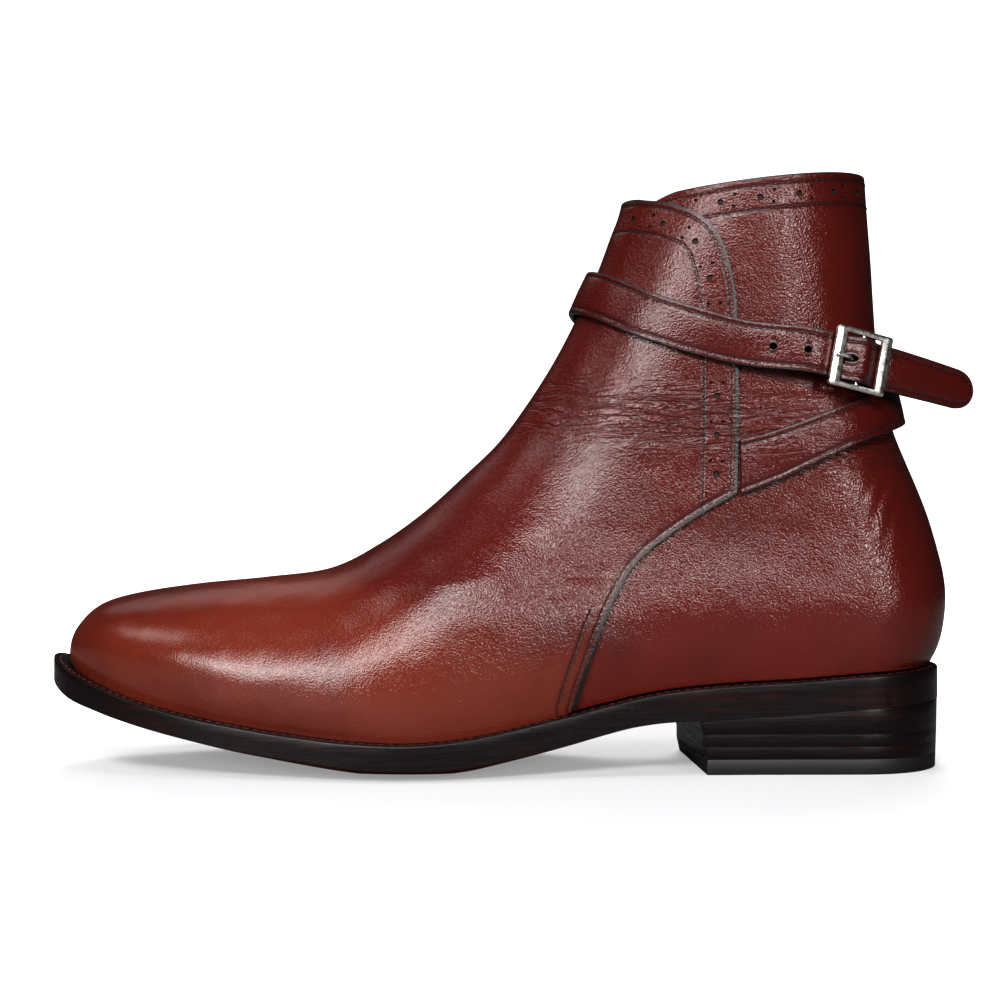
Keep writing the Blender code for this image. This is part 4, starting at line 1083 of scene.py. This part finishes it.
TAIL_WIDTH, TAIL_END_WIDTH = 0.0146, 0.0128
TAIL_LENGTH, TAIL_CURL, TAIL_ROUND = 0.0480, math.radians(10), 0.0085
ROOT_UPRIGHT = 0.016
STRAP_HOLES = (
    # place along the strap from the buckle's centre, half length, half width
    (-0.0045, 0.0026, 0.0013),
    (-0.0196, 0.0012, 0.0012),
    (-0.0310, 0.0012, 0.0012),
)
BUCKLE_CENTRE = Vector((0.0106, -0.0352, 0.1354))
BUCKLE_TURN, BUCKLE_TIP = math.radians(21), math.radians(11.5)
FRAME_LENGTH, FRAME_HEIGHT, FRAME_THICKNESS = 0.0208, 0.0198, 0.0018
END_BAR, SIDE_BAR = 0.0036, 0.0017
MIDDLE_BAR_RADIUS, MIDDLE_BAR_DROP = 0.0007, 0.0004
STRAP_COLOUR = (0.054, 0.0070, 0.0060)


def shaft_point(degrees, z, stand_off):
    """Point beside the shaft at a turn (0 at the shin, 90 on the outer side) and a height, and the
    way that the shaft faces there."""

    def at(angle, height):
        s = (1 - math.cos(angle)) / 2
        front, back = np.interp(height, *FINE_FRONT[::-1]), np.interp(height, *FINE_BACK[::-1])
        x = front + (back - front) * s
        side = LATERAL if math.sin(angle) >= 0 else MEDIAL
        return Vector((float(x), float(middle_line(x) + side * half_width(x, height, side)), height))

    angle, small = math.radians(degrees), math.radians(2)
    round_way = at(angle + small, z) - at(angle - small, z)
    up_way = at(angle, z + 0.002) - at(angle, z - 0.002)
    outward = round_way.cross(up_way).normalized()
    if outward.dot(at(angle, z) - Vector((-0.03, 0, z))) < 0:
        outward.negate()
    return at(angle, z) + outward * stand_off, outward


def buckle_axes():
    """Unit vectors of the buckle: along the strap to its tail, up across it, and outwards."""
    level = math.cos(BUCKLE_TIP)
    along = Vector(
        (math.cos(BUCKLE_TURN) * level, math.sin(BUCKLE_TURN) * level, -math.sin(BUCKLE_TIP))
    )
    outward = Vector((math.sin(BUCKLE_TURN), -math.cos(BUCKLE_TURN), 0))
    return along, outward.cross(along).normalized(), outward


def by_buckle(along, out):
    """A point beside the buckle's centre: along the strap, and outwards from the frame's middle."""
    run, _, outward = buckle_axes()
    return BUCKLE_CENTRE + run * along + outward * out


def path_stations(path, half):
    stations = []
    for degrees, z, stand_off, width in path:
        point, outward = shaft_point(degrees, z, stand_off)
        stations.append((point + outward * half, outward, width))
    return stations


def strap_stations():
    """Middle line of the long strap, the way that its face looks, and its width: round the shaft,
    under the buckle's first bar, over its middle bar, under its last bar, and the free tail."""
    half = STRAP_THICKNESS / 2
    stations = path_stations(STRAP_PATH, half)
    run, _, outward = buckle_axes()
    reach, window = FRAME_LENGTH / 2, FRAME_LENGTH / 2 - END_BAR
    under = -(FRAME_THICKNESS / 2 + GAP + half)
    over = MIDDLE_BAR_RADIUS - MIDDLE_BAR_DROP + GAP + half
    for along, out in (
        (-reach - 0.0030, under - 0.0003),
        (-window, under - 0.0003),
        (-window * 0.5, under + (over - under) * 0.5),
        (-0.0009, over),
        (0.0009, over),
        (window * 0.5, under + (over - under) * 0.5),
        (window, under - 0.0003),
        (reach + 0.0030, under - 0.0003),
    ):
        stations.append((by_buckle(along, out), outward, TAIL_WIDTH))
    last = stations[-1][0]
    steps = 6
    length = TAIL_LENGTH - reach - 0.0030
    for step in range(1, steps + 1):
        turn = Matrix.Rotation(TAIL_CURL * step / steps, 3, "Z")
        last = last + turn @ run * length / steps
        width = TAIL_WIDTH + (TAIL_END_WIDTH - TAIL_WIDTH) * step / steps
        stations.append((last.copy(), turn @ outward, width))
    return stations


def buckle_strap_stations():
    half = BUCKLE_STRAP_THICKNESS / 2
    stations = path_stations(BUCKLE_STRAP_PATH, half)
    outward = buckle_axes()[2]
    under = -(FRAME_THICKNESS / 2 + 2 * GAP + STRAP_THICKNESS + half)
    bar = -(MIDDLE_BAR_DROP + MIDDLE_BAR_RADIUS + GAP + half)
    for along, out in (
        (FRAME_LENGTH / 2 + 0.0020, under - 0.0008),
        (FRAME_LENGTH / 2 - 0.0040, under - 0.0002),
        (0.0016, under + (bar - under) * 0.4),
    ):
        stations.append((by_buckle(along, out), outward, 0.0130))
    return stations


def smooth_path(stations, step):
    """Points, facings and widths along a smooth curve through the stations, with every station
    kept and no stretch longer than a step, and their distances along it."""
    given = np.array([(*point, *facing, width) for point, facing, width in stations])
    reach = np.concatenate([[0], np.cumsum(np.linalg.norm(np.diff(given[:, :3], axis=0), axis=1))])
    at = [0.0]
    for start, end in zip(reach, reach[1:]):
        pieces = math.ceil((end - start) / step)
        at += [start + (end - start) * (k + 1) / pieces for k in range(pieces)]
    fine = np.stack([curve(reach, given[:, k], at) for k in range(7)], axis=1)
    return fine[:, :3], fine[:, 3:6], fine[:, 6], np.array(at)


def strap_frame(stations, step, round_end):
    """A strap's points, upward sides, outward normals and half widths along its path."""
    points, faces, widths, at = smooth_path(stations, step)
    ways = np.gradient(points, axis=0)
    ways /= np.linalg.norm(ways, axis=1)[:, None]
    sides = np.cross(faces, ways)
    sides /= np.linalg.norm(sides, axis=1)[:, None]
    sides *= np.sign(sides[:, 2])[:, None]
    normals = np.cross(ways, sides)
    normals *= np.sign(np.sum(normals * faces, axis=1))[:, None]
    upright = (1 - ease(0, ROOT_UPRIGHT, at))[:, None]
    sides = sides + ways * (-sides[:, :1] * np.sign(ways[:, :1])) * upright
    halves = widths / 2
    if round_end:
        halves = halves * rounded((at[-1] - at + 0.0002) / round_end)
    return points, sides, normals, halves


def strap_section(thickness):
    """A strap's section, round from its upper edge: side, distance in from that side's edge, and
    height of the leather. Its face is crowned, with a soft valley along each seam."""
    half = thickness / 2
    face = (
        (0.0, half - 0.00045),
        (0.00014, half - 0.00014),
        (0.00045, half),
        (0.0012, half + 0.00003),
        (STRAP_SEAM, half - 0.00004),
        (0.0026, half + 0.00004),
        (0.0040, half + 0.00010),
        (0.0075, half + 0.00016),
    )
    back = ((0.0, -half + 0.0003), (0.0003, -half), (0.0075, -half))
    ring = [(1, inset, height) for inset, height in face]
    ring += [(-1, inset, height) for inset, height in reversed(face)]
    ring += [(-1, inset, height) for inset, height in back]
    ring += [(1, inset, height) for inset, height in reversed(back)]
    return np.array(ring + ring[:1])


def strap_shape(stations, thickness, round_end):
    points, sides, normals, halves = strap_frame(stations, 0.0007, round_end)
    section = strap_section(thickness)

    def place(u, v):
        i = np.round(u * (len(points) - 1)).astype(int)
        side, inset, height = section[np.round(v * (len(section) - 1)).astype(int)].T
        out = side * np.maximum(halves[i] - inset, 0)
        return points[i] + sides[i] * out[:, None] + normals[i] * height[:, None]

    shape = grid_shape(len(points) - 1, len(section) - 1, place)
    edge = shape.verts.layers.float.new("edge")
    shares = grid_shape(len(points) - 1, len(section) - 1, lambda u, v: np.column_stack([u, v, v]))
    for vertex, twin in zip(shape.verts, shares.verts):
        i = round(twin.co.x * (len(points) - 1))
        _, inset, height = section[round(twin.co.y * (len(section) - 1))]
        vertex[edge] = min(inset, halves[i]) if height > 0 else 0.0
    shares.free()
    bmesh.ops.remove_doubles(shape, verts=shape.verts, dist=2e-6)
    ends = [e for e in shape.edges if e.is_boundary]
    bmesh.ops.holes_fill(shape, edges=ends, sides=0)
    close_seams(shape)
    return shape


def strap_seam(shape, stations, thickness, round_end):
    """One sewn row: up one edge of a strap, round its tip and back along the other."""
    points, sides, normals, halves = strap_frame(stations, 0.0007, round_end)
    keep = halves > STRAP_SEAM
    face = points + normals * (thickness / 2 - 0.00014)
    rows = [face + sides * (side * (halves - STRAP_SEAM))[:, None] for side in (1, -1)]
    line = np.vstack([rows[0][keep], rows[1][keep][::-1]])
    facing = np.vstack([normals[keep], normals[keep][::-1]])
    apart = np.concatenate([[1], np.linalg.norm(np.diff(line, axis=0), axis=1)])
    stitch_row(shape, line[apart > 1e-6], facing[apart > 1e-6], 0.0024, 0.0018, 0.00023)


strap_calf = calf_leather(
    "strap_calf", STRAP_COLOUR, STRAP_COLOUR, 0.0009, (("edge", STRAP_SEAM, 0, 1),), folding=0.25
)


def hole_place(along):
    """Place of a punched hole along the strap from the buckle's centre, with its axes."""
    points, _, normals, _ = strap_frame(strap_stations(), 0.0007, 0)
    reach = evenly(points, 1.0)[1]
    start = reach[np.argmin(np.linalg.norm(points - BUCKLE_CENTRE, axis=1))]
    i = int(np.argmin(abs(reach - start - along)))
    way = Vector(points[i + 1] - points[i - 1]).normalized()
    facing = Vector(normals[i])
    return Vector(points[i]), Matrix((way, facing.cross(way), facing)).transposed().to_4x4()


def build_straps():
    shape = strap_shape(strap_stations(), STRAP_THICKNESS, TAIL_ROUND)
    strap = link_piece("long_strap", shape, strap_calf)
    holes = bmesh.new()
    for along, half_length, half_width_of_hole in STRAP_HOLES:
        centre, axes = hole_place(along)
        stretch = Matrix.Diagonal((half_length / half_width_of_hole, 1, 1, 1))
        bmesh.ops.create_cone(
            holes,
            cap_ends=True,
            segments=20,
            radius1=half_width_of_hole,
            radius2=half_width_of_hole,
            depth=0.012,
            matrix=Matrix.Translation(centre) @ axes @ stretch,
        )
    cut_holes(strap, holes)
    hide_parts("strap")
    shape = strap_shape(buckle_strap_stations(), BUCKLE_STRAP_THICKNESS, 0)
    short = link_piece("short_strap", shape, strap_calf)
    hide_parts("buckle_strap")
    seams = bmesh.new()
    strap_seam(seams, strap_stations(), STRAP_THICKNESS, TAIL_ROUND)
    strap_seam(seams, buckle_strap_stations(), BUCKLE_STRAP_THICKNESS, 0)
    thread = link_piece("strap_stitches", seams, upper_thread)


build_straps()

# Buckle: a nickel-plated frame with faceted bars and a round bar across its middle. Its prong
# comes up through the strap's hole and rests on the first bar.
FACET_DROP = 0.00030
PRONG_RADIUS = 0.0007


def nickel_plate():
    material = plain_material("nickel_plate", (0.80, 0.77, 0.73), 0.30)
    tree = material.node_tree
    shader = tree.nodes["Principled BSDF"]
    shader.inputs["Metallic"].default_value = 1.0
    place = node(tree, "TexCoord").outputs["Object"]
    wear = node(tree, "TexNoise", {"Vector": place, "Scale": 420.0, "Detail": 5.0}).outputs["Fac"]
    tree.links.new(ramp(tree, wear, 0.3, 0.7, 0.24, 0.38), shader.inputs["Roughness"])
    return material


def frame_shape():
    """The frame: a grid with its lines moved to the bars' edges and ridges, its middle cell taken
    out, and drawn back to the frame's thickness."""
    shape = bmesh.new()
    bmesh.ops.create_grid(shape, x_segments=5, y_segments=5, size=2.5)
    reach, rise = FRAME_LENGTH / 2, FRAME_HEIGHT / 2
    across = {0.5: reach - END_BAR, 1.5: reach - END_BAR / 2, 2.5: reach}
    upward = {0.5: rise - SIDE_BAR, 1.5: rise - SIDE_BAR / 2, 2.5: rise}
    middle = [face for face in shape.faces if face.calc_center_median().length < 0.1]
    bmesh.ops.delete(shape, geom=middle, context="FACES")
    for vertex in shape.verts:
        x, y = (round(abs(value), 1) for value in vertex.co[:2])
        ridge = max(x, y) == 1.5
        vertex.co.x = math.copysign(across[x], vertex.co.x)
        vertex.co.y = math.copysign(upward[y], vertex.co.y)
        vertex.co.z = FRAME_THICKNESS / 2 - (0 if ridge else FACET_DROP)
    drawn = bmesh.ops.extrude_face_region(shape, geom=list(shape.faces), use_keep_orig=True)
    for part in drawn["geom"]:
        if isinstance(part, bmesh.types.BMVert):
            part.co.z = -FRAME_THICKNESS / 2
    bmesh.ops.recalc_face_normals(shape, faces=shape.faces)
    corners = [
        edge
        for edge in shape.edges
        if all(abs(v.co.x) > reach - 1e-6 and abs(v.co.y) > rise - 1e-6 for v in edge.verts)
    ]
    bmesh.ops.bevel(
        shape, geom=corners, offset=0.0009, segments=4, profile=0.5, affect="EDGES", material=-1
    )
    sharp = [edge for edge in shape.edges if edge.calc_face_angle(0) > math.radians(12)]
    bmesh.ops.bevel(
        shape, geom=sharp, offset=0.00010, segments=2, profile=0.5, affect="EDGES", material=-1
    )
    return shape


def tube_shape(points, radius, sides):
    """A round rod with domed ends along a smooth line through the given points."""
    given = np.array([tuple(point) for point in points])
    reach = evenly(given, 1.0)[1]
    at = np.linspace(0, reach[-1], 61)
    fine = np.column_stack([curve(reach, given[:, k], at) for k in range(3)])
    ways = np.gradient(fine, axis=0)
    ways /= np.linalg.norm(ways, axis=1)[:, None]
    first = np.array(buckle_axes()[1])
    second = np.cross(ways, first)
    second /= np.linalg.norm(second, axis=1)[:, None]
    dome = np.minimum(at, at[-1] - at) / radius
    size = radius * np.sqrt(np.clip(1 - (1 - np.clip(dome, 0, 1)) ** 2, 0.02, 1))

    def place(u, v):
        i = np.round(u * 60).astype(int)
        angle = 2 * math.pi * v[:, None]
        ring = np.cos(angle) * first + np.sin(angle) * second[i]
        return fine[i] + ring * size[i][:, None]

    shape = grid_shape(60, sides, place)
    bmesh.ops.remove_doubles(shape, verts=shape.verts, dist=2e-6)
    bmesh.ops.holes_fill(shape, edges=[e for e in shape.edges if e.is_boundary], sides=0)
    close_seams(shape)
    return shape


def build_buckle():
    run, across, outward = buckle_axes()
    axes = Matrix((run, across, outward)).transposed().to_4x4()
    spot = Matrix.Translation(BUCKLE_CENTRE) @ axes
    shape = frame_shape()
    bmesh.ops.create_cone(
        shape,
        cap_ends=True,
        segments=20,
        radius1=MIDDLE_BAR_RADIUS,
        radius2=MIDDLE_BAR_RADIUS,
        depth=FRAME_HEIGHT - SIDE_BAR,
        matrix=Matrix.Translation((0, 0, -MIDDLE_BAR_DROP)) @ Matrix.Rotation(math.radians(90), 4, "X"),
    )
    bmesh.ops.transform(shape, matrix=spot, verts=shape.verts)
    nickel = nickel_plate()
    frame_piece = link_piece("buckle", shape, nickel, sharp=30)
    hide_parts("buckle_frame")
    reach = FRAME_LENGTH / 2
    rest = FRAME_THICKNESS / 2 + GAP + PRONG_RADIUS
    hole = STRAP_HOLES[0][0] + 0.0008
    points = (
        by_buckle(-MIDDLE_BAR_RADIUS - GAP - PRONG_RADIUS, -0.0015),
        by_buckle(hole + 0.0006, -0.0018),
        by_buckle(hole, -0.0006),
        by_buckle(hole - 0.0012, 0.0012),
        by_buckle(hole - 0.0026, rest),
        by_buckle(-reach + END_BAR * 0.9, rest),
        by_buckle(-reach + 0.0002, rest),
    )
    prong = link_piece("prong", tube_shape(points, PRONG_RADIUS, 20), nickel)
    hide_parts("buckle_prong")


build_buckle()

# Welt: a leather strip between upper and outsole, sewn through all round. Its top edge is rounded
# and it is stained near black, with the seam's dark red thread lying in a channel.
WELT_THICKNESS, WELT_WIDTH, WELT_SEAM = 0.0030, 0.0125, 0.0021
LEDGE = (
    # x, outer side, inner side
    (-0.2620, 0.0078, 0.0078),
    (-0.2300, 0.0066, 0.0066),
    (-0.1500, 0.0062, 0.0062),
    (-0.1100, 0.0055, 0.0050),
    (-0.0700, 0.0040, 0.0028),
    (-0.0300, 0.0030, 0.0026),
    (0.0450, 0.0028, 0.0028),
)


def sole_edge(turn, grow=0.0):
    """Plan points of the sole's edge: the feather line moved out by the ledge, and by grow more."""
    turn = np.asarray(turn, float)
    x = feather_edge(turn)[..., 0]
    outer, inner = (curve(column(LEDGE, 0), column(LEDGE, side), x) for side in (1, 2))
    ledge = np.where(np.sin(2 * math.pi * turn) >= 0, outer, inner)
    return feather_edge(turn, ledge + grow)


def edge_leather(name, streaks):
    """Sole leather with its edge stained near black and waxed, dark red showing through."""
    material = bpy.data.materials.new(name)
    material.use_nodes = True
    tree = material.node_tree
    shader = tree.nodes["Principled BSDF"]
    shader.inputs["Specular IOR Level"].default_value = 0.32
    place = node(tree, "TexCoord").outputs["Object"]
    drawn = node(tree, "Mapping", {"Vector": place, "Scale": (22.0, 22.0, 620.0)}).outputs[0]
    layer = node(tree, "TexNoise", {"Vector": drawn, "Scale": 1.0, "Detail": 5.0, "Distortion": 0.5})
    cloud = node(tree, "TexNoise", {"Vector": place, "Scale": 38.0, "Detail": 3.0}).outputs["Fac"]
    mask = math_node(tree, "MULTIPLY", ramp(tree, layer.outputs["Fac"], 0.40, 0.75), ramp(tree, cloud, 0.35, 0.70))
    mask = math_node(tree, "MULTIPLY", mask, streaks)
    colour = mix_colour(tree, mask, (0.0060, 0.0042, 0.0044), (0.022, 0.0042, 0.0050))
    rough = node(tree, "TexNoise", {"Vector": drawn, "Scale": 3.0, "Detail": 4.0}).outputs["Fac"]
    bump = node(tree, "Bump", {"Height": rough, "Strength": 0.20, "Distance": 0.00006})
    tree.links.new(colour, shader.inputs["Base Color"])
    tree.links.new(ramp(tree, rough, 0.3, 0.7, 0.24, 0.34), shader.inputs["Roughness"])
    tree.links.new(bump.outputs["Normal"], shader.inputs["Normal"])
    return material


sole_edge_leather = edge_leather("sole_edge_leather", 0.9)
welt_thread = waxed_thread("welt_thread", (0.070, 0.012, 0.010))


def build_welt():
    section = np.array(
        (
            # out from the edge, height above the welt's top
            (0.0, -0.0009),
            (-0.00012, -0.00042),
            (-0.00045, -0.00010),
            (-0.0010, 0.0),
            (-0.0016, 0.0),
            (-WELT_SEAM, -0.00022),
            (-0.0026, 0.0),
            (-WELT_WIDTH, 0.0),
            (-WELT_WIDTH, -WELT_THICKNESS - GAP * 0.9),
            (0.0, -WELT_THICKNESS - GAP * 0.9),
            (0.0, -0.0009),
        )
    )

    def place(u, v):
        out, rise = section[np.round(v * (len(section) - 1)).astype(int)].T
        point = sole_edge(u, out)
        return np.column_stack([point, welt_top(point[:, 0]) + rise])

    shape = grid_shape(480, len(section) - 1, place)
    close_seams(shape)
    welt = link_piece("welt_strip", shape, sole_edge_leather)
    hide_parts("welt")
    turn = np.linspace(0, 1, 721)
    line = sole_edge(turn, -WELT_SEAM)
    seam = np.column_stack([line, welt_top(line[:, 0]) - 0.00018])
    way = np.gradient(seam, axis=0)
    across = np.column_stack([way[:, 1], -way[:, 0], np.zeros(len(way))])
    facing = np.cross(across, way)
    facing *= np.sign(facing[:, 2:]) / np.linalg.norm(facing, axis=1, keepdims=True)
    seams = bmesh.new()
    stitch_row(seams, seam, facing, 0.0032, 0.0025, 0.00036)
    thread = link_piece("welt_stitches", seams, welt_thread)


build_welt()

# Outsole: one thick sole leather, flat at the forefoot's rest and drawn up under the arch. Its
# edges are stained and waxed like the welt, and its underside is stained red-brown.


def tread(x, share):
    """Height of the sole's underside: flat across the middle and crowned up to its edge."""
    edge = curve(column(SIDE_LINE, 0), column(SIDE_LINE, 2), x)
    middle = np.maximum(curve(column(SIDE_LINE, 0), column(SIDE_LINE, 3), x), 0)
    crown = np.clip((abs(share) - 0.45) / 0.55, 0, 1) ** 2
    return middle + (edge - middle) * crown


def soften_rim(piece, width, segments=3, angle=50):
    """Rounds a piece's sharp edges."""
    rim = piece.modifiers.new("Rim", "BEVEL")
    rim.width = width
    rim.segments = segments
    rim.limit_method = "ANGLE"
    rim.angle_limit = math.radians(angle)
    settle(piece)


def paint_faces(piece, chosen, slot):
    """Gives a material slot to the faces whose normal passes a test."""
    for face in piece.data.polygons:
        if chosen(face.normal):
            face.material_index = slot


def build_outsole():
    def edges(u):
        return sole_edge(u / 2), sole_edge(1 - u / 2)

    top = between(edges, lambda x, share: welt_top(x) - WELT_THICKNESS - GAP)
    shape = slab_shape(200, 24, top, between(edges, tread))
    bottom_leather = surface_leather("sole_bottom_leather", (0.150, 0.026, 0.018), 0.45, 700, 0.0002)
    outsole = link_piece("sole", shape, sole_edge_leather, bottom_leather)
    soften_rim(outsole, 0.00022)
    paint_faces(outsole, lambda normal: normal.z < -0.8, 1)
    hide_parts("outsole")


build_outsole()

# Heel: three leather lifts, stacked, trimmed together and stained black, over a rubber top piece.
# Each layer's edges are rounded off a little.
TOP_PIECE_THICKNESS, LIFT_THICKNESS = 0.0050, 0.0038
HEEL_BREAST = {LATERAL: -0.0412, MEDIAL: -0.0450}
HEEL_BREAST_RAKE, HEEL_TAPER = 0.10, 0.035
HEEL_TOP = 0.0234


def heel_edges(z, inset=0.0):
    """The heel's plan lines at a height: the sole's edge behind the breast, tapered downwards."""
    drop = HEEL_TOP - z
    grow = -HEEL_TAPER * drop - inset
    turns = np.linspace(0, 0.5, 401)
    starts = {}
    for side, way in ((LATERAL, turns), (MEDIAL, 1 - turns)):
        breast = HEEL_BREAST[side] + HEEL_BREAST_RAKE * drop + inset
        starts[side] = way[np.argmin(abs(sole_edge(way, grow)[:, 0] - breast))]

    def edges(u):
        outer = starts[LATERAL] + (0.5 - starts[LATERAL]) * u
        inner = starts[MEDIAL] + (0.5 - starts[MEDIAL]) * u
        return sole_edge(outer, grow), sole_edge(inner, grow)

    return edges


def heel_layer(name, node_name, slot, top, low, material):
    """One layer of the heel. top and low are each the height that the outline is taken at, and a
    function for the face's height at (x, share)."""
    faces = [between(heel_edges(height), face) for height, face in (top, low)]
    layer = link_piece(name, slab_shape(90, 12, *faces), material)
    soften_rim(layer, 0.00010, 2)
    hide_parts(node_name)


def build_heel():
    def flat(z):
        return lambda x, share: z + 0 * x

    lift_leather = edge_leather("lift_leather", 0.55)
    rubber = plain_material("top_piece_rubber", (0.010, 0.009, 0.009), 0.5)
    low = TOP_PIECE_THICKNESS
    for number in (1, 2):
        high = low + LIFT_THICKNESS + GAP
        ends = ((high, flat(high)), (low, flat(low)))
        heel_layer(f"lift_{number}", f"heel_lift_{number}", "heel_leather", *ends, lift_leather)
        low = high
    ends = ((0.0195, lambda x, share: tread(x, share) - GAP / 2), (low, flat(low)))
    heel_layer("lift_3", "heel_lift_3", "heel_leather", *ends, lift_leather)
    ends = ((TOP_PIECE_THICKNESS, flat(TOP_PIECE_THICKNESS)), (0.0, flat(0.0)))
    heel_layer("top_piece", "heel_top_piece", "heel_rubber", *ends, rubber)


build_heel()
